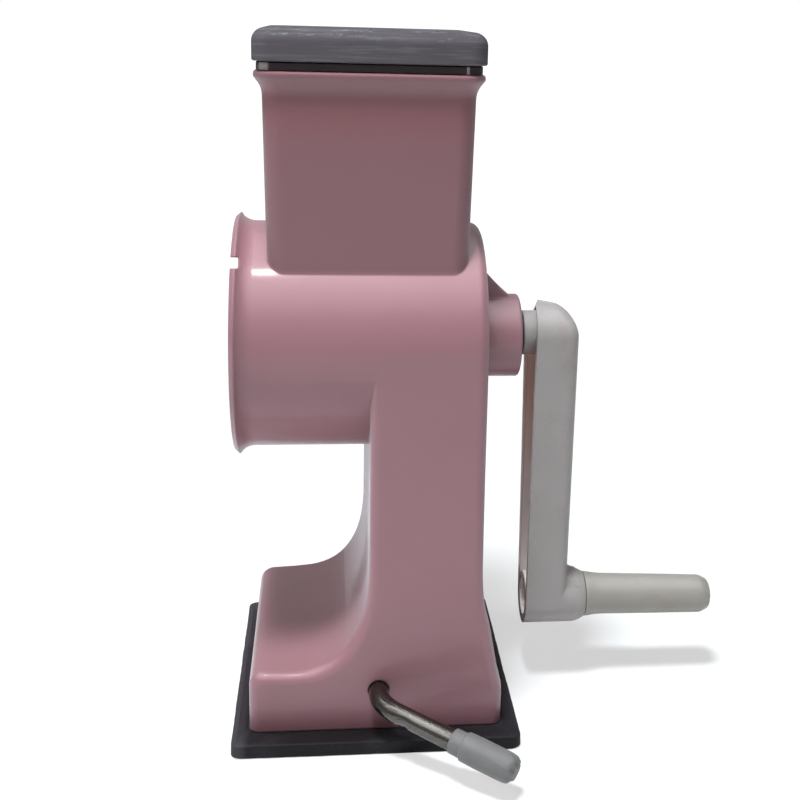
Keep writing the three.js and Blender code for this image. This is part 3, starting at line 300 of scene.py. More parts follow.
def plated(name, bright, dull, roughness):
    """Zinc-plated steel: cloudy grey with fine turning marks and a few dull spots."""
    finish = Finish(name, Metallic=1.0)
    cloud = finish.grain(140, detail=5, rough=0.6)
    marks = finish.grain(600, stretch=(12, 1, 1), detail=2)
    spots = finish.step(finish.grain(420, detail=4), 0.6, 0.72)
    finish.feed(
        Base_Color=finish.tint(cloud * 0.7 + spots * 0.3, bright, dull),
        Roughness=roughness + cloud * 0.2 + spots * 0.15,
        Normal=finish.bump(marks + spots, 0.00002))
    return finish


zinc = plated("zinc plate", colour(196, 197, 199), colour(118, 117, 116), 0.22)
nylon = Finish("natural nylon", Subsurface_Weight=0.2, Subsurface_Scale=1.0,
               Subsurface_Radius=(0.003, 0.003, 0.0022))
cloud = nylon.grain(90, detail=4)
nylon.feed(
    Base_Color=nylon.tint(cloud, colour(226, 223, 214), colour(204, 199, 187)),
    Roughness=0.38 + cloud * 0.25,
    Normal=nylon.bump(nylon.grain(1500, detail=3), 0.00003))
dress("stud_plate", zinc, 0.3)
dress("stud_screw", zinc)
dress("lift_yoke", nylon, 0.5)


# ---------------------------------------------------------------- lever's cam, pin and clip
# A nylon spiral cam is pinned to the axle inside the yoke with a steel pin through both. A sprung
# steel clip in front of the near bearing keeps the axle from being pulled out.
dress("lift_cam", nylon, 0.3)
dress("cam_pin", zinc, 0.2)
dress("rod_clip", zinc, 0.2)


# ---------------------------------------------------------------- suction lever
# A round steel bar, bent cold and nickel-plated, with the plating pitted and worn. A small flat is
# pinched into it past the bend. Its far end carries the cam, and the clip keeps it in the base.
LEVER_Z = 21.8 * MM
ROD_RADIUS = 4.2 * MM
BAR_START, BAR_REACH = 46.8 * MM, 58 * MM  # its far end, and how far it runs past the corner
BEND, BEND_RADIUS = math.radians(55.4), 16 * MM
CORNER = Vector((0, -63.3 * MM, LEVER_Z))  # where the two straights would meet
SIDEWAYS = Vector((math.cos(math.radians(10)), 0, -math.sin(math.radians(10))))
ARM_WAY = Vector((0, -math.cos(BEND), 0)) + SIDEWAYS * math.sin(BEND)
DENT_PLACE, DENT_HALF, DENT_DEPTH = 13.4 * MM, 1.5 * MM, 1.0 * MM
DENT_SIDE = Vector((-0.56, -0.74, -0.3)).normalized()

bar = bmesh.new()
section = bmesh.ops.create_circle(bar, cap_ends=True, segments=48, radius=ROD_RADIUS)["verts"]
bmesh.ops.rotate(bar, verts=section, matrix=Matrix.Rotation(math.pi / 2, 3, "X"))
bmesh.ops.translate(bar, verts=section, vec=(0, BAR_START, LEVER_Z))
run = list(bar.edges)


def push(shape, edges, vec):
    """Extrudes edges along a vector and returns the new ones."""
    verts = verts_of(bmesh.ops.extrude_edge_only(shape, edges=edges)["geom"])
    bmesh.ops.translate(shape, vec=vec, verts=verts)
    return edges_between(verts)


tangent = BEND_RADIUS * math.tan(BEND / 2)
start = CORNER.y + tangent
for k in range(10):
    run = push(bar, run, (0, (start - BAR_START) / 10, 0))
bend_middle = CORNER + Vector((0, tangent, 0)) + SIDEWAYS * BEND_RADIUS
turned_end = bmesh.ops.spin(
    bar, geom=list(dict.fromkeys(v for e in run for v in e.verts)) + run, cent=bend_middle,
    axis=SIDEWAYS.cross(Vector((0, 1, 0))), angle=BEND, steps=20)["geom_last"]
run = [item for item in turned_end if isinstance(item, bmesh.types.BMEdge)]
for k in range(24):
    run = push(bar, run, ARM_WAY * (BAR_REACH - tangent) / 24)
bmesh.ops.edgeloop_fill(bar, edges=run)
bmesh.ops.recalc_face_normals(bar, faces=bar.faces)
# The pinched flat: a shallow dip across the bar's near side.
for v in bar.verts:
    along = (v.co - CORNER).dot(ARM_WAY)
    if tangent < along < 56 * MM:
        off = v.co - CORNER - ARM_WAY * along
        near = max(0.0, off.normalized().dot(DENT_SIDE)) ** 4
        v.co -= off.normalized() * near * DENT_DEPTH * math.exp(-((along - DENT_PLACE) / DENT_HALF) ** 4)
nickel = Finish("worn nickel plate", Metallic=1.0)
lie = math.atan2(ARM_WAY.y, ARM_WAY.x)
pits = nickel.step(nickel.grain(1700, detail=5, rough=0.7), 0.52, 0.72)
drawn = nickel.grain(420, stretch=(0.16, 1, 1), detail=4, rough=0.6, turn=lie)
wear = nickel.step(nickel.grain(230, stretch=(0.22, 1, 1), detail=5, rough=0.7, turn=lie), 0.46, 0.62)
nickel.feed(
    Base_Color=nickel.tint(wear * 0.6 + pits * 0.4, colour(96, 93, 89), colour(50, 44, 40)),
    Roughness=0.16 + wear * 0.16 + pits * 0.3,
    Normal=nickel.bump(drawn * 0.7 + nickel.grain(900, detail=4, rough=0.65) * 0.3 - pits * 0.5, 0.00005))
piece("lever_bar", bar, nickel, "lever", ["lever_rod"])


# ---------------------------------------------------------------- lever's soft cap
# Translucent soft vinyl, dip-moulded over the end of the bar: a thin collar, then the thick grip,
# which ends in a rough, ragged tip.
def turned(profile, facets=96):
    """A closed mesh spun round the X axis from (radius, along, rounding) points in millimetres."""
    shape = bmesh.new()
    points = [shape.verts.new((corner[1] * MM, 0, corner[0] * MM)) for corner in profile]
    for (a, b), ends in zip(zip(profile, profile[1:]), zip(points, points[1:])):
        if a[0] > 0 or b[0] > 0:
            shape.edges.new(ends)
    if profile[0][0] > 0:
        shape.edges.new((points[-1], points[0]))
    for point, corner in zip(points, profile):
        if len(corner) > 2:
            bmesh.ops.bevel(shape, geom=[point], offset=corner[2] * MM, segments=5, profile=0.5,
                            affect="VERTICES", material=-1)
    bmesh.ops.spin(shape, geom=shape.verts[:] + shape.edges[:], cent=(0, 0, 0), axis=(1, 0, 0),
                   angle=2 * math.pi, steps=facets, use_merge=True)
    bmesh.ops.remove_doubles(shape, verts=shape.verts, dist=1e-6)
    bmesh.ops.recalc_face_normals(shape, faces=shape.faces)
    return shape


def laid(shape, place, way=(1, 0, 0)):
    """Turns a shape's X axis along a direction and moves it into place."""
    turn = Vector((1, 0, 0)).rotation_difference(Vector(way)).to_matrix()
    bmesh.ops.rotate(shape, verts=shape.verts, matrix=turn)
    bmesh.ops.translate(shape, verts=shape.verts, vec=place)
    return shape


sleeve = turned([
    (4.5, 35.3, 0.3), (5.15, 35.3, 0.3), (5.3, 40.6, 0.3), (6.05, 40.9, 0.25), (6.14, 46), (6.14, 52),
    (6.1, 58), (6.05, 60.2), (5.9, 61.7), (5.5, 62.95), (4.7, 63.8), (3.2, 64.25), (1.2, 64.35),
    (0, 64.35), (0, 58.3), (4.5, 58.3)])
TORN_FROM = 60.5 * MM  # where the rough tip begins
laid(sleeve, CORNER, ARM_WAY)
for v in sleeve.verts:
    along = (v.co - CORNER).dot(ARM_WAY)
    off = v.co - CORNER - ARM_WAY * along
    if off.length > 4.6 * MM:
        swell = noise.noise(v.co * 90) * 0.16
        v.co += off.normalized() * min(0.0, swell - 0.04) * MM
    if along > TORN_FROM:
        rough = noise.noise(v.co * 520) * 1.9 + noise.noise(v.co * 190) * 1.3
        v.co -= ARM_WAY * max(0.0, rough) * MM * min(1, (along - TORN_FROM) / (2 * MM))
vinyl = Finish("cloudy vinyl", Specular_IOR_Level=0.35, Subsurface_Weight=0.3, Subsurface_Scale=1.0,
               Subsurface_Radius=(0.0025, 0.0025, 0.0026))
haze = vinyl.grain(70, detail=5, rough=0.6)
scuff = vinyl.step(vinyl.grain(240, stretch=(1, 1, 3), detail=4), 0.56, 0.8)
vinyl.feed(
    Base_Color=vinyl.tint(haze * 0.6 + scuff * 0.3, colour(119, 117, 117), colour(90, 87, 85)),
    Roughness=0.42 + haze * 0.2 + scuff * 0.15,
    Normal=vinyl.bump(vinyl.grain(700, detail=4) + vinyl.grain(60), 0.0001))
piece("lever_sleeve", sleeve, vinyl, "lever", ["lever_cap"], 50)


# ---------------------------------------------------------------- housing
# One glossy pink ABS moulding: the drum's chamber with its flanged mouth, the hopper that runs into it,
# the bearing boss, and the column that sweeps out into the hollow base over the lever's axle.
AXIS_Z = 164.4 * MM
ON_AXIS = (0, 0, AXIS_Z)
BACK, MOUTH = 43.4, -60.6  # the chamber's two ends along the axis, in millimetres
WALL = 2.6
CHAMBER_RADIUS, BORE_RADIUS = 48.4, 45.8
BASE_HALF, COLUMN_HALF = 51.7, 48.4
BASE_LEFT, BASE_RIGHT, COLUMN_LEFT = -54.2, 52.8, -4.4
BASE_TOP, BASE_CORNER, EDGE_ROUND = 32.5, 6.4, 4.4
HOPPER_X = -5.4
BOSS_RADIUS, BOSS_LENGTH, BOSS_DROP = 18.2, 18, 1.1  # its outside sits a little below its bore
BUSH_BORE, AXLE_BORE, AXLE_BOSS = 8.3, 4.5, 8


def combined(first, *steps):
    """Joins and cuts closed meshes in turn and returns the result as one mesh."""
    operands = []
    for k, shape in enumerate([first] + [step[1] for step in steps]):
        mesh = bpy.data.meshes.new("operand")
        bmesh.ops.recalc_face_normals(shape, faces=shape.faces)
        shape.to_mesh(mesh)
        shape.free()
        operands.append(bpy.data.objects.new("operand", mesh))
        scene.collection.objects.link(operands[-1])
    for (operation, _), operand in zip(steps, operands[1:]):
        change = operands[0].modifiers.new(operation, "BOOLEAN")
        change.operation, change.solver, change.object = operation, "MANIFOLD", operand
    bpy.context.view_layer.update()
    result = bmesh.new()
    result.from_object(operands[0], bpy.context.evaluated_depsgraph_get())
    for operand in operands:
        mesh = operand.data
        bpy.data.objects.remove(operand)
        bpy.data.meshes.remove(mesh)
    return result


def bent(start, pull_to, end, steps=12):
    """Points of a smooth curve from start to end, drawn towards a third point."""
    points = []
    for k in range(steps + 1):
        t = k / steps
        points.append(tuple((1 - t) ** 2 * a + 2 * t * (1 - t) * b + t * t * c
                            for a, b, c in zip(start, pull_to, end)))
    return points


def upright(outline, half, round_edge=0.0, arc=6):
    """A closed side view, (x, z) in millimetres, pushed out to both sides of the middle plane."""
    shape = bmesh.new()
    verts = [shape.verts.new((x * MM, -half * MM, z * MM)) for x, z in outline]
    face = shape.faces.new(verts)
    made = bmesh.ops.extrude_face_region(shape, geom=[face], use_keep_orig=True)["geom"]
    bmesh.ops.translate(shape, verts=verts_of(made), vec=(0, 2 * half * MM, 0))
    bmesh.ops.recalc_face_normals(shape, faces=shape.faces)
    if round_edge:
        rim = [e for e in shape.edges if abs(e.verts[0].co.y - e.verts[1].co.y) < 1e-7]
        bmesh.ops.bevel(shape, geom=rim, offset=round_edge * MM, offset_type="OFFSET", segments=arc,
                        profile=0.5, affect="EDGES", clamp_overlap=False, material=-1)
    return shape


def whole(shape):
    """All of a shape's vertices, edges and faces."""
    return shape.verts[:] + shape.edges[:] + shape.faces[:]


def limited(value):
    """Keeps a share between 0 and 1."""
    return min(1, max(0, value))


def foot_form(inset, top):
    """The column and base, drawn inwards by inset, open-ended far below the base's rim."""
    left, right, toe = COLUMN_LEFT + inset, BACK - inset, BASE_RIGHT - inset
    crown, low = 33.5 - inset, -20
    corner = max(BASE_CORNER - inset, 0.3)
    start = BASE_LEFT + inset
    rounded = [(start + corner * (1 - math.cos(a)), BASE_TOP - inset - corner * (1 - math.sin(a)))
               for a in (math.radians(15 * k) for k in range(7))]
    outline = [(start, low)] + rounded + [(-44, 32.7 - inset), (-38, 33 - inset)]
    outline += bent((left - 28, crown), (left - 1, crown + 2), (left, 72), 18)
    outline += [(left, 90), (left, top), (right, top)]
    outline += bent((right, 74), (right, 59), (right + 3.4, 49), 8)
    outline += bent((toe - 1.3, 28.5), (toe, 25.1), (toe, 20.5), 5) + [(toe, low)]
    shape = upright(outline, BASE_HALF - inset, EDGE_ROUND - inset)
    for k in range(28):
        bmesh.ops.bisect_plane(shape, geom=whole(shape), dist=1e-7,
                               plane_co=(0, 0, (26 + 4 * k) * MM), plane_no=(0, 0, 1))
    for v in shape.verts:
        share = limited((v.co.z / MM - 30) / 100)
        share = share * share * (3 - 2 * share)
        v.co.y *= 1 + ((COLUMN_HALF - inset) / (BASE_HALF - inset) - 1) * share
        # The base's top sinks towards its near edge.
        sunk = limited((-v.co.y / MM - 22) / 26) ** 2 * limited((48 - v.co.z / MM) / 15)
        depth = 2.1 + 1.5 * limited((v.co.x / MM + 50) / 16)
        v.co.z -= depth * MM * sunk * limited((v.co.z / MM - 12) / 10)
    return shape


def cut_level(shape, z, above):
    """Cuts a closed shape off at a height and closes it again."""
    cut = bmesh.ops.bisect_plane(shape, geom=whole(shape), dist=1e-7,
                                 plane_co=(0, 0, z), plane_no=(0, 0, 1),
                                 clear_outer=above, clear_inner=not above)
    edges = [item for item in cut["geom_cut"] if isinstance(item, bmesh.types.BMEdge)]
    flat_fill(shape, edges)
    bmesh.ops.recalc_face_normals(shape, faces=shape.faces)
    return shape


def hopper_form(width, depth, corner, foot, levels):
    """The hopper's funnel as a closed block; levels are (height, how far the sides stand out)."""
    shape = bmesh.new()
    ring = rounded_ring(shape, (HOPPER_X * MM, 0), width * MM, depth * MM, corner * MM, foot * MM, 10)
    flat_fill(shape, ring)
    for z, out in levels:
        ring = pull(shape, ring, z * MM, (width + 2 * out) * MM, (depth + 2 * out) * MM)
    flat_fill(shape, ring)
    bmesh.ops.recalc_face_normals(shape, faces=shape.faces)
    return shape


chamber = laid(turned([
    (0, MOUTH), (50.2, MOUTH, 0.35), (52, MOUTH + 2, 0.35), (50.4, MOUTH + 3.1), (49.5, MOUTH + 4.3),
    (48.8, MOUTH + 5.8), (48.45, MOUTH + 7.4), (CHAMBER_RADIUS, MOUTH + 9), (CHAMBER_RADIUS, 0),
    (CHAMBER_RADIUS, BACK, 4.2), (0, BACK)], 256), ON_AXIS)
bore = laid(turned([
    (0, MOUTH - 3), (47.2, MOUTH - 1.2), (BORE_RADIUS, MOUTH + 0.5), (BORE_RADIUS, BACK - WALL, 1.5),
    (0, BACK - WALL)], 256), ON_AXIS)
FLARE = [(267.6, 1.75), (269.2, 1.85), (270.6, 2.15), (271.9, 2.65), (273.1, 3.35), (274.2, 4.15), (275, 4.7),
         (275.6, 4.98), (276.4, 5.02), (277.1, 4.85), (277.5, 4.4), (277.6, 3.9)]
funnel = hopper_form(81, 70.4, 7, 176.5, [(190, 0.26), (210, 0.64), (230, 1.02), (250, 1.4)] + FLARE)
throat = hopper_form(75.8, 65.2, 4.4, AXIS_Z / MM, [
    (200, 0), (240, 0), (268, 0), (270.2, 0.15), (272, 0.6), (273.6, 1.4), (275, 2.3), (276.2, 2.8),
    (277.3, 3.1), (279, 3.8)])
foot = cut_level(foot_form(0, 171), 3.9 * MM, False)
foot_room = foot_form(WALL, 156.4)
boss = laid(turned([
    (0, BACK - 1), (18.9, BACK - 1), (18.5, BACK + 0.8), (BOSS_RADIUS, BACK + 2.6),
    (BOSS_RADIUS, BACK + BOSS_LENGTH, 1.3), (0, BACK + BOSS_LENGTH)], 96), (0, 0, AXIS_Z - BOSS_DROP * MM))
rib_line = [(BACK - 1, 177.5), (57.4, 177.5), (57.4, 181.1)]
rib_line += bent((57.4, 181.1), (52.4, 185), (44.9, 193.5), 8)[1:]
rib = upright(rib_line + [(BACK - 1, 193.5)], 3.5, 1.0, 3)


def axle_rod(radius, y0, y1, facets=48):
    """A round rod on the line of the lever's axle, in millimetres."""
    return laid(turned([(0, y0), (radius, y0), (radius, y1), (0, y1)], facets), (0, 0, LEVER_Z), (0, 1, 0))


NOTCH_DEPTH, NOTCH_WIDTH, NOTCH_TILT = 3.2, 4.4, math.radians(11.1)
notch = bmesh.new()
corners = bmesh.ops.create_cube(notch, size=1)["verts"]
bmesh.ops.scale(notch, verts=corners, vec=(2 * NOTCH_DEPTH * MM, 20 * MM, NOTCH_WIDTH * MM))
bmesh.ops.bevel(notch, geom=notch.edges[:], offset=0.6 * MM, segments=3, profile=0.5,
                affect="EDGES", material=-1)
bmesh.ops.rotate(notch, verts=notch.verts, matrix=Matrix.Rotation(-NOTCH_TILT, 3, "X"))
bmesh.ops.translate(notch, verts=notch.verts, vec=(MOUTH * MM, -34.6 * MM, 201.8 * MM))
chamber_side = laid(turned([(0, MOUTH), (48.42, MOUTH), (48.42, BACK), (0, BACK)], 256), ON_AXIS)
body = combined(
    chamber, ("UNION", funnel), ("UNION", foot), ("UNION", boss), ("UNION", rib),
    ("DIFFERENCE", bore), ("DIFFERENCE", throat),
    ("DIFFERENCE", combined(foot_room, ("DIFFERENCE", chamber_side))),
    ("UNION", axle_rod(AXLE_BOSS, -49.6, -39.1)), ("UNION", axle_rod(AXLE_BOSS, 33.1, 49.6)),
    ("DIFFERENCE", laid(turned([
        (0, 39.8), (BUSH_BORE, 39.8), (BUSH_BORE, 62.4), (0, 62.4)], 64), ON_AXIS)),
    ("DIFFERENCE", axle_rod(AXLE_BORE, -90, 47.1)), ("DIFFERENCE", notch))

pink = Finish("glossy pink plastic", Specular_IOR_Level=0.5, Coat_Weight=0.35, Coat_Roughness=0.14,
              Sheen_Weight=0.2, Sheen_Roughness=0.5, Sheen_Tint=(0.9, 0.97, 1, 1))
mottle = pink.grain(38, detail=4, rough=0.55)
flow = pink.grain(9, stretch=(1, 1, 0.5), detail=2)
smear = pink.step(pink.grain(60, stretch=(1, 1, 2.5), detail=5, rough=0.65), 0.5, 0.8)
# Painted shade: the pink is deeper just under the hopper's rim and darker on its lip, where the cap shades it,
# and the hopper's outside is painted darker than the chamber below it. The same dark pink, in patches, is grime
# along the base's foot.
up = pink.height(2)
rim_shade = pink.band(up, 0.2445, 0.2605, 0.2655, 0.2725) + pink.step(up, 0.275, 0.2765) * 0.5
hopper_shade = pink.step(pink.reach(pink.height(1), up - AXIS_Z), 0.0486, 0.05) * pink.step(up, 0.19, 0.2)
hopper_shade = hopper_shade * pink.step(pink.height(0), -0.056, -0.052)
grime = (1 - pink.step(up, 0.004, 0.014)) * pink.step(pink.grain(110, detail=4), 0.2, 0.6)
faded = pink.tint(mottle * 0.45 + flow * 0.35, colour(146, 100, 108), colour(136, 92, 98))
# Painted shade: the hopper's outside is darkened.
shaded_pink = pink.tint(hopper_shade * 0.75, faded, colour(119, 79, 84))
pink.feed(
    Base_Color=pink.tint(rim_shade * 0.85 + grime * 0.35, shaded_pink, colour(130, 80, 85)),
    Roughness=0.46 + smear * 0.1 + mottle * 0.06,
    Normal=pink.bump(pink.grain(45, detail=2) + pink.grain(420, detail=3) * 0.12, 0.00022,
                     pink.rounded(1.3 * MM)))
piece("housing_shell", body, pink, "housing", ["body_housing"], 30)
dress("bearing_bush", nylon, 0.3)


# ---------------------------------------------------------------- drive shaft and thrust washer
# A plated steel shaft runs in the bush: square where the crank and the drum's hub push on, threaded at
# its inner end for the nut. A black fibre washer takes the rub between crank and boss.
fibre = Finish("black fibre", Specular_IOR_Level=0.35)
worn = fibre.grain(300, detail=4)
fibre.feed(
    Base_Color=fibre.tint(worn, colour(34, 31, 32), colour(58, 52, 51)),
    Roughness=0.55 + worn * 0.25,
    Normal=fibre.bump(fibre.grain(1800, detail=3), 0.00003))
dress("drive_shaft", zinc, 0.25)
dress("thrust_washer", fibre, 0.2)


# ---------------------------------------------------------------- grating drum
# Stainless sheet, pressed with rows of half-round teeth before it was rolled into a drum. Each tooth is
# a ramp raised out of the sheet, and behind its sharp lip is the slot that the shreds fall through.
DRUM_RADIUS = 42.4
DRUM_FRONT, DRUM_BACK = -54.4, 37.7
SHEET_THICK = 0.8
ROUND, ROWS, ROW_PITCH, FIRST_ROW = 16, 8, 10.5, -45.1
TOOTH_PITCH = 2 * math.pi * DRUM_RADIUS / ROUND
TOOTH_HALF, TOOTH_RISE = 2.6, 1.5  # half its width, and how far its lip stands out of the sheet
RAMP, LIP = -3.2, 0.5  # where a tooth starts to rise, and its sharp edge
ACROSS = [-ROW_PITCH / 2, -3.4, -TOOTH_HALF, -1.9, -1.0, 0, 1.0, 1.9, TOOTH_HALF, 3.4, ROW_PITCH / 2]
ALONG = [-TOOTH_PITCH / 2, -5.4, RAMP, -1.9, -0.7, LIP, 1.8, 3.0, 4.6, 6.4, TOOTH_PITCH / 2]
# The slot's rim, as (place in the grid, angle round the half circle).
SLOT_RIM = {(5, 8): 90, (6, 8): 66, (7, 8): 46, (7, 7): 30, (7, 6): 14, (7, 5): 0}

drum = bmesh.new()
bmesh.ops.create_grid(drum, x_segments=10, y_segments=10, size=0.5)
spots_of = {v: (round((v.co.x + 0.5) * 10), round((v.co.y + 0.5) * 10)) for v in drum.verts}
slot = [f for f in drum.faces
        if all(spots_of[v][0] in (5, 6, 7) and 2 <= spots_of[v][1] <= 8 for v in f.verts)]
bmesh.ops.delete(drum, geom=slot, context="FACES")
for v in drum.verts:
    i, j = spots_of[v]
    around, over, rise = ALONG[i], ACROSS[j], 0.0
    if j in (0, 10):
        around = TOOTH_PITCH * (i / 10 - 0.5)
    mirrored = (i, j if j >= 5 else 10 - j)
    if mirrored in SLOT_RIM and mirrored != (5, 5):
        turn = math.radians(SLOT_RIM[mirrored])
        around = LIP + TOOTH_HALF * math.cos(turn)
        over = math.copysign(TOOTH_HALF * math.sin(turn), over)
    if RAMP < around <= LIP and abs(over) < TOOTH_HALF and i <= 5:
        rise = TOOTH_RISE * ((around - RAMP) / (LIP - RAMP)) ** 1.3 * (1 - (over / TOOTH_HALF) ** 2) ** 0.6
    turn = around / DRUM_RADIUS
    out = DRUM_RADIUS + rise
    v.co = Vector((over + FIRST_ROW, out * math.sin(turn), out * math.cos(turn))) * MM
bmesh.ops.spin(drum, geom=whole(drum), cent=(0, 0, 0), axis=(1, 0, 0),
               angle=2 * math.pi * (ROUND - 1) / ROUND, steps=ROUND - 1, use_duplicate=True)
bmesh.ops.remove_doubles(drum, verts=drum.verts, dist=5e-6)
first_row = whole(drum)
for row in range(1, ROWS):
    copy = bmesh.ops.duplicate(drum, geom=first_row)["geom"]
    moved = verts_of(copy)
    bmesh.ops.translate(drum, verts=moved, vec=(row * ROW_PITCH * MM, 0, 0))
    bmesh.ops.rotate(drum, verts=moved, matrix=Matrix.Rotation(row % 2 * math.pi / ROUND, 3, "X"))
bmesh.ops.remove_doubles(drum, verts=drum.verts, dist=5e-6)
for end, out in ((FIRST_ROW - ROW_PITCH / 2, DRUM_FRONT), (FIRST_ROW + (ROWS - 0.5) * ROW_PITCH, DRUM_BACK)):
    hem = [e for e in drum.edges if all(abs(v.co.x - end * MM) < 1e-6 for v in e.verts)]
    push(drum, hem, ((out - end) * MM, 0, 0))
bmesh.ops.recalc_face_normals(drum, faces=drum.faces)
bmesh.ops.solidify(drum, geom=drum.faces[:], thickness=SHEET_THICK * MM)
bmesh.ops.translate(drum, verts=drum.verts, vec=ON_AXIS)

rolled_steel = Finish("rolled stainless sheet", Metallic=1.0)
lines = rolled_steel.grain(260, stretch=(14, 0.5, 0.5), detail=3)
bloom = rolled_steel.grain(55, detail=5, rough=0.65)
dried = rolled_steel.step(rolled_steel.grain(170, detail=5, rough=0.7), 0.62, 0.74)
rolled_steel.feed(
    Base_Color=rolled_steel.tint(bloom * 0.6 + dried * 0.4, colour(205, 203, 200), colour(142, 137, 130)),
    Roughness=0.2 + bloom * 0.14 + lines * 0.08 + dried * 0.25,
    Normal=rolled_steel.bump(lines, 0.00002))
piece("grating_sheet", drum, rolled_steel, "crank", ["grating_drum"], 40)


# ---------------------------------------------------------------- drum's front ring
# Ivory polypropylene, moulded. Its sleeve is pressed into the sheet's open end, and its rim turns
# inside the chamber's mouth and keeps the drum central.
GRIP_Z = 38.4
FOOT_Z = GRIP_Z * MM
ivory = Finish("ivory plastic", Coat_Weight=0.1, Coat_Roughness=0.15, Specular_IOR_Level=0.35,
               Subsurface_Weight=0.15, Subsurface_Scale=1.0, Subsurface_Radius=(0.008, 0.0045, 0.0032))
clouds = ivory.grain(34, detail=4, rough=0.6)
stain = ivory.step(ivory.grain(75, stretch=(1, 1, 0.6), detail=5, rough=0.7, shift=(0.3, 0.1, 0)), 0.5, 0.78)
marks = ivory.step(ivory.grain(420, stretch=(1, 1, 2), detail=5, rough=0.7), 0.62, 0.72)
# The inside of the crank's channel and the far wall's open edge are painted paler than the rest, as painted
# light in the shaded channel. They are warmer in colour towards the neck, partly a painted reflection of the
# pink housing and partly a brown stain.
high = ivory.height(2)
inward = ivory.height(0)
over = ivory.greater(high - AXIS_Z, 0.0) + ivory.greater(FOOT_Z - high, 0.0)
spread = ivory.reach(ivory.height(1), over)
neck_reach = ivory.reach(ivory.height(1), high - AXIS_Z)
painted_channel_light = ((1 - ivory.step(spread - (high - FOOT_Z) * 0.0159, 0.0101, 0.0103))
          * ivory.band(inward, 0.0683, 0.0687, 0.0846, 0.0849)
          * ivory.step(neck_reach, 0.0103, 0.0106) * (1 - ivory.step(high, 0.1674, 0.1694)))
rim = (ivory.band(inward, 0.0635, 0.064, 0.0682, 0.0686) * ivory.step(ivory.height(1), 0.004, 0.006)
       * ivory.band(high, 0.045, 0.05, 0.15, 0.153))
# Painted light: the channel's inside and its open edge are shown paler.
painted_channel_light = ivory.greater(painted_channel_light, rim)
bounce_and_stain = ivory.step(high, 0.085, 0.135)
# Painted reflection: the neck's lower half is tinted reddish brown, as the pink boss reflected in it.
neck_pink_reflection = (ivory.band(inward, 0.0625, 0.064, 0.0735, 0.0755)
        * (1 - ivory.step(neck_reach, 0.0106, 0.0109)) * (1 - ivory.step(high, 0.1535, 0.1625)))
aged = ivory.tint(marks * 0.35, ivory.tint(
    stain * 0.5, ivory.tint(clouds, colour(166, 160, 157), colour(152, 145, 142)), colour(145, 130, 120)),
    colour(190, 185, 181))
# The foot flows into the arm without an edge.
foot_zone = (ivory.band(inward, 0.074, 0.078, 0.0905, 0.0925)
             * ivory.band(high, 0.036, 0.040, 0.056, 0.064))
edges = ivory.node("Mix", {"data_type": "VECTOR"}, {
    0: foot_zone, 4: ivory.rounded(0.5 * MM), 5: ivory.rounded(4.5 * MM, 10)}, out=1)
ivory.feed(
    Base_Color=ivory.tint(painted_channel_light, ivory.tint(neck_pink_reflection * 0.8, aged, colour(150, 118, 106)),
                          ivory.tint(bounce_and_stain, colour(248, 240, 236), colour(232, 203, 188))),
    Roughness=0.4 + clouds * 0.14 + marks * 0.2,
    Normal=ivory.bump(ivory.grain(55, detail=2) + ivory.grain(900, detail=3) * 0.1, 0.00016, edges))
ring = laid(turned([(39.1, -57.2, 0.3), (44.4, -57.2, 0.8), (44.4, -54.7, 0.3), (41.1, -54.7, 0.15),
                    (41.1, -48.4, 0.4), (39.1, -48.4, 0.3)], 128), ON_AXIS)
piece("drum_mouth_ring", ring, ivory, "crank", ["drum_front_ring"])


# ---------------------------------------------------------------- drum's back hub
# The same plastic: a disc that closes the sheet's back end, with a hub squared to fit the shaft and six
# ribs from it to the sleeve.
def block(x0, x1, y0, y1, z0, z1, edge=0.0):
    """A closed block between two corners, in millimetres, with its edges rounded."""
    shape = bmesh.new()
    corners = bmesh.ops.create_cube(shape, size=1)["verts"]
    bmesh.ops.scale(shape, verts=corners, vec=((x1 - x0) * MM, (y1 - y0) * MM, (z1 - z0) * MM))
    bmesh.ops.translate(shape, verts=corners, vec=((x0 + x1) / 2 * MM, (y0 + y1) / 2 * MM, (z0 + z1) / 2 * MM))
    if edge:
        bmesh.ops.bevel(shape, geom=shape.edges[:], offset=edge * MM, segments=2, profile=0.5,
                        affect="EDGES", material=-1)
    return shape


def square_hole(x0, x1):
    """What the shaft's square end passes through, in millimetres."""
    return block(x0, x1, -3.8, 3.8, -3.8, 3.8, 0.3)


ribs = []
for k in range(6):
    rib = block(31.9, 38.4, -1, 1, 9, 39.9, 0.3)
    bmesh.ops.rotate(rib, verts=rib.verts, matrix=Matrix.Rotation(k * math.pi / 3, 3, "X"))
    ribs.append(("UNION", rib))
hub = combined(
    turned([(0, 38), (39.1, 38), (39.1, 31.7, 0.3), (41.1, 31.7, 0.4), (41.1, 38),
            (DRUM_RADIUS, 38, 0.2), (DRUM_RADIUS, 40, 0.5), (0, 40)], 128),
    ("UNION", turned([(0, 22.7), (10, 22.7, 0.8), (10, 39), (0, 39)])), *ribs,
    ("DIFFERENCE", square_hole(20, 45)),
    ("DIFFERENCE", turned([(0, 38.7), (12.8, 38.7, 0.3), (12.8, 42), (0, 42)])))
piece("drum_hub", laid(hub, ON_AXIS), ivory, "crank", ["drum_back_hub"], 28)


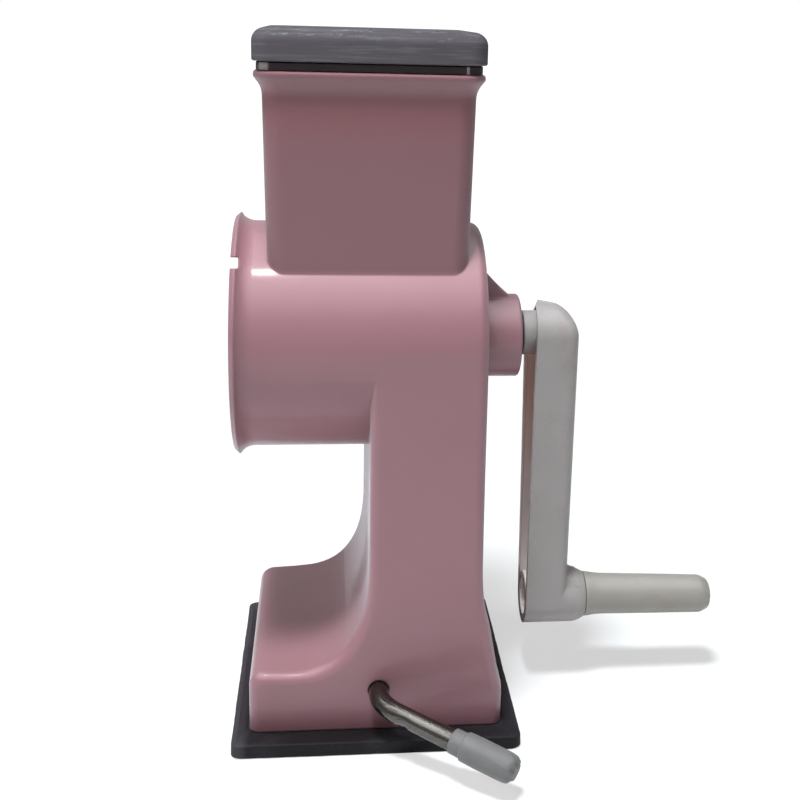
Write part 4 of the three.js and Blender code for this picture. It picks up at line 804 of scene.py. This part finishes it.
# ---------------------------------------------------------------- drum's nut
# A six-lobed finger nut of the same plastic, run up by hand on the shaft's thread to hold the hub.
def lobed(radius, swing, lobes, x0, x1, rim):
    """A closed rod along the axis with a waved outline and rounded rims, in millimetres."""
    shape = bmesh.new()
    for v in bmesh.ops.create_circle(shape, cap_ends=True, segments=12 * lobes, radius=1)["verts"]:
        reach = (radius + swing * math.cos(lobes * math.atan2(v.co.y, v.co.x))) * MM
        v.co = Vector((x0 * MM, v.co.x * reach, v.co.y * reach))
    made = bmesh.ops.extrude_face_region(shape, geom=shape.faces[:], use_keep_orig=True)["geom"]
    bmesh.ops.translate(shape, verts=verts_of(made), vec=((x1 - x0) * MM, 0, 0))
    bmesh.ops.recalc_face_normals(shape, faces=shape.faces)
    rims = [e for e in shape.edges if abs(e.verts[0].co.x - e.verts[1].co.x) < 1e-7]
    bmesh.ops.bevel(shape, geom=rims, offset=rim * MM, segments=4, profile=0.5, affect="EDGES", material=-1)
    return shape


nut = combined(lobed(9.5, 1.1, 6, 11.4, 22.4, 1),
               ("DIFFERENCE", turned([(0, 10), (3.5, 10), (3.5, 24), (0, 24)], 48)),
               ("DIFFERENCE", turned([(0, 10.4), (7.2, 10.4), (6.6, 12.6, 0.4), (0, 12.6)], 48)))
piece("finger_nut", laid(nut, ON_AXIS), ivory, "crank", ["drum_nut"])


# ---------------------------------------------------------------- crank arm
# One ivory moulding, a long shallow channel open towards the housing. Its neck is squared to fit the
# shaft and runs on the washer, its back leans away over the shaft's end, and its foot bears the grip.
ARM_OPEN, ARM_BACK = 68.2, 87.3
ARM_TOP_RADIUS, ARM_FOOT_RADIUS = 14.5, 12.5


def arm_form(inset, x0, x1, rim):
    """The arm's outline pushed out along the axis, with a rounded back that leans over at the top."""
    shape = bmesh.new()
    for v in bmesh.ops.create_circle(shape, cap_ends=True, segments=72, radius=1)["verts"]:
        radius, middle = (ARM_TOP_RADIUS, AXIS_Z / MM) if v.co.y > -1e-6 else (ARM_FOOT_RADIUS, GRIP_Z)
        radius -= inset
        v.co = Vector((x0, v.co.x * radius, middle + v.co.y * radius)) * MM
    made = bmesh.ops.extrude_face_region(shape, geom=shape.faces[:], use_keep_orig=True)["geom"]
    bmesh.ops.translate(shape, verts=verts_of(made), vec=((x1 - x0) * MM, 0, 0))
    bmesh.ops.recalc_face_normals(shape, faces=shape.faces)
    back = [e for e in shape.edges if all(abs(v.co.x - x1 * MM) < 1e-7 for v in e.verts)]
    bmesh.ops.bevel(shape, geom=back, offset=rim * MM, segments=6, profile=0.5, affect="EDGES", material=-1)
    for k in range(15):
        bmesh.ops.bisect_plane(shape, geom=whole(shape), dist=1e-7,
                               plane_co=(0, 0, AXIS_Z + (1.2 * k - 2) * MM), plane_no=(0, 0, 1))
    for v in shape.verts:
        over = v.co.z / MM - AXIS_Z / MM
        share = limited((v.co.x / MM - ARM_OPEN) / (ARM_BACK - ARM_OPEN))
        # The far wall stands a little further out, most of all below the neck.
        far = max(0, v.co.y / MM / ARM_FOOT_RADIUS) * (1 - limited(share * 3))
        far *= limited((v.co.z / MM - 42) / 18)
        v.co.x -= far * (1.0 + 1.3 * math.exp(-((over + 14) / 7) ** 2)) * MM
        if over > 0:
            back = 0.033 * over ** 2
            front = max(0, 1.6 + 0.3 * v.co.y / MM) * min(1, over / ARM_TOP_RADIUS) ** 0.8
            drop = 2 * (over / ARM_TOP_RADIUS) ** 2
            v.co += Vector((front * (1 - share) - back * share, 0, -drop * share)) * MM
    return shape


neck = laid(turned([(0, 63.2), (9.8, 63.2, 0.6), (9.8, 66), (10.2, 84.9), (0, 84.9)]), ON_AXIS)
neck = combined(neck, ("INTERSECT", arm_form(0.4, 55, 86.8, 5.2)))
foot_bush = turned([(0, ARM_OPEN), (11.2, ARM_OPEN, 0.4), (11.2, 85), (0, 85)])
foot_boss = turned([(0, 78), (12.48, 78), (12.48, 91.6, 1.2), (11.7, 94, 1.0), (10.4, 96.5, 0.25), (0, 96.5)])
web = turned([(0, 83), (17.6, 83), (17, 86.6), (15.2, 87.8), (13.9, 89.2), (12.9, 91), (12.4, 93), (0, 93)])
foot_hole = combined(turned([(0, 66), (8.8, 66), (8.6, 68.6), (8.6, 76.2, 0.3), (0, 76.2)], 64),
                     ("UNION", turned([(0, 75), (4.3, 75), (4.3, 98), (0, 98)], 64)))
grip_place = (0, 0, FOOT_Z)
arm = combined(
    arm_form(0, ARM_OPEN, ARM_BACK, 5.5), ("DIFFERENCE", arm_form(2.6, 60, ARM_BACK - 2.6, 2.9)),
    ("UNION", neck), ("UNION", laid(foot_bush, grip_place)), ("UNION", laid(foot_boss, grip_place)),
    ("UNION", combined(laid(web, grip_place), ("INTERSECT", arm_form(3.0, 80, 97, 0.6)))),
    ("DIFFERENCE", laid(foot_hole, grip_place)),
    ("DIFFERENCE", laid(square_hole(60, 82.7), ON_AXIS)))
piece("crank_channel", arm, ivory, "crank", ["crank_arm"], 28)


# ---------------------------------------------------------------- grip
# A solid waisted knob of the same plastic, rubbed smooth, that turns on a split shank snapped through
# the arm's foot and pressed into the knob.
worn_ivory = Finish("handled ivory plastic", Coat_Weight=0.1, Coat_Roughness=0.25, Specular_IOR_Level=0.4,
                    Subsurface_Weight=0.25, Subsurface_Scale=1.0, Subsurface_Radius=(0.005, 0.004, 0.003))
clouds = worn_ivory.grain(42, detail=4, rough=0.6)
rubbed = worn_ivory.step(worn_ivory.grain(130, stretch=(0.5, 1, 1), detail=5, rough=0.7), 0.5, 0.78)
worn_ivory.feed(
    Base_Color=worn_ivory.tint(
        rubbed * 0.45, worn_ivory.tint(clouds, colour(157, 151, 144), colour(146, 138, 129)),
        colour(131, 120, 107)),
    Roughness=0.4 + clouds * 0.12 + rubbed * 0.14,
    Normal=worn_ivory.bump(worn_ivory.grain(60, detail=2) + worn_ivory.grain(700, detail=3) * 0.12, 0.0002))
knob = turned([
    (4.3, 96.8), (10.2, 96.8, 0.2), (10.15, 98), (9.95, 99.4), (9.7, 101), (9.45, 103), (9.3, 106), (9.25, 112),
    (9.1, 125), (8.75, 148), (8.7, 152.6, 1.4), (6.5, 156.9, 1.7), (0, 156.9), (0, 127.1), (4.3, 127.1)])
# The knob sags a little on its shank.
SAG = 0.026  # fall for each metre outwards
for v in knob.verts:
    if math.hypot(v.co.y, v.co.z) > 4.6 * MM or v.co.x > 140 * MM:
        v.co.z -= SAG * max(0, v.co.x - 100 * MM)
piece("grip_knob", laid(knob, grip_place), worn_ivory, "grip", ["crank_grip"], 40)
dress("grip_shank", worn_ivory, 0.3)


# ---------------------------------------------------------------- plunger
# A hollow moulding that slides in the hopper, with its working face cupped to the drum and a shoulder that
# stops it on the hopper's rim. Its very dark colour is painted shade, for the shadowed gap between the cap and
# the rim.
def across(radius):
    """A rod on the drum's axis that cuts the plunger's working face."""
    return laid(turned([(0, -70), (radius, -70), (radius, 70), (0, 70)], 192), ON_AXIS)


CUP_RADIUS, PLUNGER_WALL = 46.6, 2
plunger = combined(
    hopper_form(88.6, 78, 7, 277.9, [(278.2, 0), (280.7, 0), (281, -0.3)]),
    ("UNION", hopper_form(74.2, 63.6, 4.4, 164.4, [(278.4, 0)])),
    ("DIFFERENCE", combined(hopper_form(70.2, 59.6, 2.4, 164, [(283, 0)]),
                            ("DIFFERENCE", across(CUP_RADIUS + PLUNGER_WALL)))),
    ("DIFFERENCE", across(CUP_RADIUS)))
dark_as_shade = Finish("dark plastic", Specular_IOR_Level=0.3)
film = dark_as_shade.grain(60, detail=4, rough=0.6)
rub = dark_as_shade.step(dark_as_shade.grain(150, stretch=(1, 1, 0.25), detail=4), 0.55, 0.75)
# Two pale marks cross its shoulder, a rough one on the mouth's side and a thin line on the crank's.
along = dark_as_shade.height(0)
torn = dark_as_shade.step(0 - dark_as_shade.node("Math", {"operation": "ABSOLUTE"}, {0: along + 0.0465}), -0.0026, -0.0012)
line = dark_as_shade.step(0 - dark_as_shade.node("Math", {"operation": "ABSOLUTE"}, {0: along - 0.0324}), -0.0007, -0.0004)
pale = torn * dark_as_shade.step(dark_as_shade.grain(420, detail=4, rough=0.7), 0.36, 0.5) + line
pale = pale * dark_as_shade.step(dark_as_shade.height(2), 0.2778, 0.2781)
# Painted shade: the plunger's dark base colour stands for the shade in the gap under the cap.
dark_as_shade.feed(
    Base_Color=dark_as_shade.tint(
        pale * 0.8, dark_as_shade.tint(film * 0.6 + rub * 0.4, colour(36, 27, 31), colour(50, 39, 43)),
        colour(168, 156, 154)),
    Roughness=0.36 + film * 0.2 + rub * 0.1,
    Normal=dark_as_shade.bump(dark_as_shade.grain(500, detail=3), 0.00005, dark_as_shade.rounded(0.4 * MM)))
piece("plunger_box", plunger, dark_as_shade, "pusher", ["pusher_plunger"], 28)


# ---------------------------------------------------------------- pusher's cap
# A grey satin moulding glued over the plunger's shoulder, hollow underneath, with a generously rounded top edge
# for the palm. The rounding is painted pale in patches, partly for scuffs and partly as a painted highlight.
CAP_Z, CAP_RISE, CAP_EDGE = 281.3, 12.7, 5.2
cap_levels = [(CAP_Z + 0.2, 0.35), (CAP_Z + 0.6, 0.6), (CAP_Z + CAP_RISE - CAP_EDGE, 0.6)]
for k in range(1, 9):
    turn = math.radians(90 * k / 8)
    cap_levels.append((CAP_Z + CAP_RISE - CAP_EDGE * (1 - math.sin(turn)),
                       0.6 - CAP_EDGE * (1 - math.cos(turn))))
cap = combined(hopper_form(90.6, 80, 6.5, CAP_Z, cap_levels),
               ("DIFFERENCE", hopper_form(71.8, 61.2, 7, CAP_Z - 1, [(CAP_Z + CAP_RISE - 3.5, 0)])))
grey = Finish("grey satin plastic", Specular_IOR_Level=0.0, Coat_Roughness=0.35)
drift = grey.grain(30, stretch=(0.5, 0.5, 2), detail=4, rough=0.6)
streaks = grey.step(grey.grain(300, stretch=(0.12, 0.12, 2.6), detail=5, rough=0.65), 0.48, 0.72)
scuffs_and_highlight = grey.step(grey.grain(260, stretch=(0.4, 0.4, 1.6), detail=5, rough=0.75, shift=(0.02, 0.1, 0.3)),
                   0.53, 0.68)
rounding = grey.step(grey.height(2), 0.2885, 0.2928)
upper = rounding * (1 - grey.step(grey.height(2), 0.2934, 0.294) * 0.7)
grey.feed(
    Base_Color=grey.tint(
        scuffs_and_highlight * upper * 0.5 + streaks * 0.16, grey.tint(drift, colour(91, 86, 90), colour(79, 74, 78)),
        colour(158, 160, 164)),
    Coat_Weight=0.3 - rounding * 0.3,
    Roughness=0.42 + drift * 0.12 + scuffs_and_highlight * upper * 0.25 + streaks * 0.08,
    Normal=grey.bump(grey.grain(50, detail=2) + streaks * 0.15 + grey.grain(900, detail=3) * 0.1, 0.00015))
piece("palm_cap", cap, grey, "pusher", ["pusher_cap"], 30)


# ---------------------------------------------------------------- floor, light and camera
# A white floor under lamps that stand above and beside the object. Close by, the floor keeps the
# object's shadow, and further out it is evenly white and meets the white room.
floor_shape = bmesh.new()
bmesh.ops.create_grid(floor_shape, x_segments=1, y_segments=1, size=30)
floor_mesh = bpy.data.meshes.new("floor")
floor_shape.to_mesh(floor_mesh)
floor_shape.free()
floor = bpy.data.objects.new("floor", floor_mesh)
scene.collection.objects.link(floor)
paper = Finish("white paper", Base_Color=(0.88, 0.88, 0.88, 1), Roughness=0.9, Specular_IOR_Level=0.0)
seen = paper.node("LightPath", out="Is Camera Ray")
away = paper.node("VectorMath", {"operation": "LENGTH"}, {0: paper.place}, out="Value")
far = paper.step(away, 0.35, 0.9)
glow = paper.node("Emission", None, {"Color": (1, 1, 1, 1), "Strength": 1.12})
lit = paper.node("BsdfDiffuse", None, {"Color": (0.9, 0.9, 0.9, 1)})
near = paper.node("MixShader", None, {0: 0.5 + far * 0.5, 1: lit, 2: glow})
shown = paper.node("MixShader", None, {0: seen, 1: Wire(paper, paper.shader.outputs[0]), 2: near})
paper.join(paper.tree.nodes["Material Output"].inputs["Surface"], shown)
floor.data.materials.append(paper.material)


class Room(Finish):
    """The world's nodes, added in the same way as a finish's."""

    def __init__(self, world):
        world.use_nodes = True
        self.tree = world.node_tree


world = bpy.data.worlds.new("white room")
room = Room(world)
# White where it is looked at or through, weaker in reflections, and weak as a light.
shine = room.node("LightPath", out="Is Glossy Ray") * 0.35
open_view = room.greater(room.node("LightPath", out="Is Camera Ray"), shine)
open_view = room.greater(open_view, room.node("LightPath", out="Is Transmission Ray"))
strength = room.node("MapRange", None, {"Value": open_view, "To Min": 0.16, "To Max": 1.0})
background = room.tree.nodes["Background"].inputs
room.join(background["Strength"], strength)
room.join(background["Color"], (1, 1, 1, 1))
scene.world = world
scene.view_settings.view_transform = "Standard"


def lamp(name, place, aim, size, size_y, power):
    """A rectangular lamp that faces a point."""
    light = bpy.data.lights.new(name, "AREA")
    light.shape, light.size, light.size_y, light.energy = "RECTANGLE", size, size_y, power
    thing = bpy.data.objects.new(name, light)
    thing.location = place
    thing.rotation_euler = (Vector(aim) - Vector(place)).to_track_quat("-Z", "Y").to_euler()
    scene.collection.objects.link(thing)
    return thing


middle = Vector((0.01, 0, 0.15))
key = lamp("key", middle + Vector((-0.14, -0.24, 0.96)) * 1.4, middle, 0.26, 0.26, 27.5)
key.data.color = (0.92, 1.0, 1.05)
key.visible_glossy = False
glint = lamp("glint", (-0.129, -0.37, 1.53), middle, 0.02, 0.16, 4)
glint.visible_diffuse = False
sheen = lamp("sheen", middle + Vector((-0.1, -0.12, 0.99)) * 1.6, middle, 3.6, 3.6, 66)
sheen.data.spread = math.radians(110)
sheen.data.color = (0.95, 1.0, 1.03)
sheen.visible_diffuse = False
fill = lamp("fill", (-0.15, -1.4, 0.5), middle, 0.8, 0.5, 0.3)
fill.visible_glossy = False
side = lamp("side", (-1.05, -0.4, 0.95), middle, 0.6, 0.6, 4.2)
side.visible_glossy = False

forward, right, up = (Vector((0.11163, 0.96849, -0.22263)), Vector((0.99375, -0.10819, 0.02764)),
                      Vector((-0.00268, 0.22432, 0.97451)))
view = bpy.data.cameras.new("camera")
view.sensor_width, view.lens = 36, 56.232
view.shift_x, view.shift_y = -0.087875, -0.1250625
view.clip_start = 0.01
camera = bpy.data.objects.new("camera", view)
camera.matrix_world = (Matrix.Translation((-0.0209, -0.5298, 0.3008))
                       @ Matrix((right, up, -forward)).transposed().to_4x4())
scene.collection.objects.link(camera)
scene.camera = camera
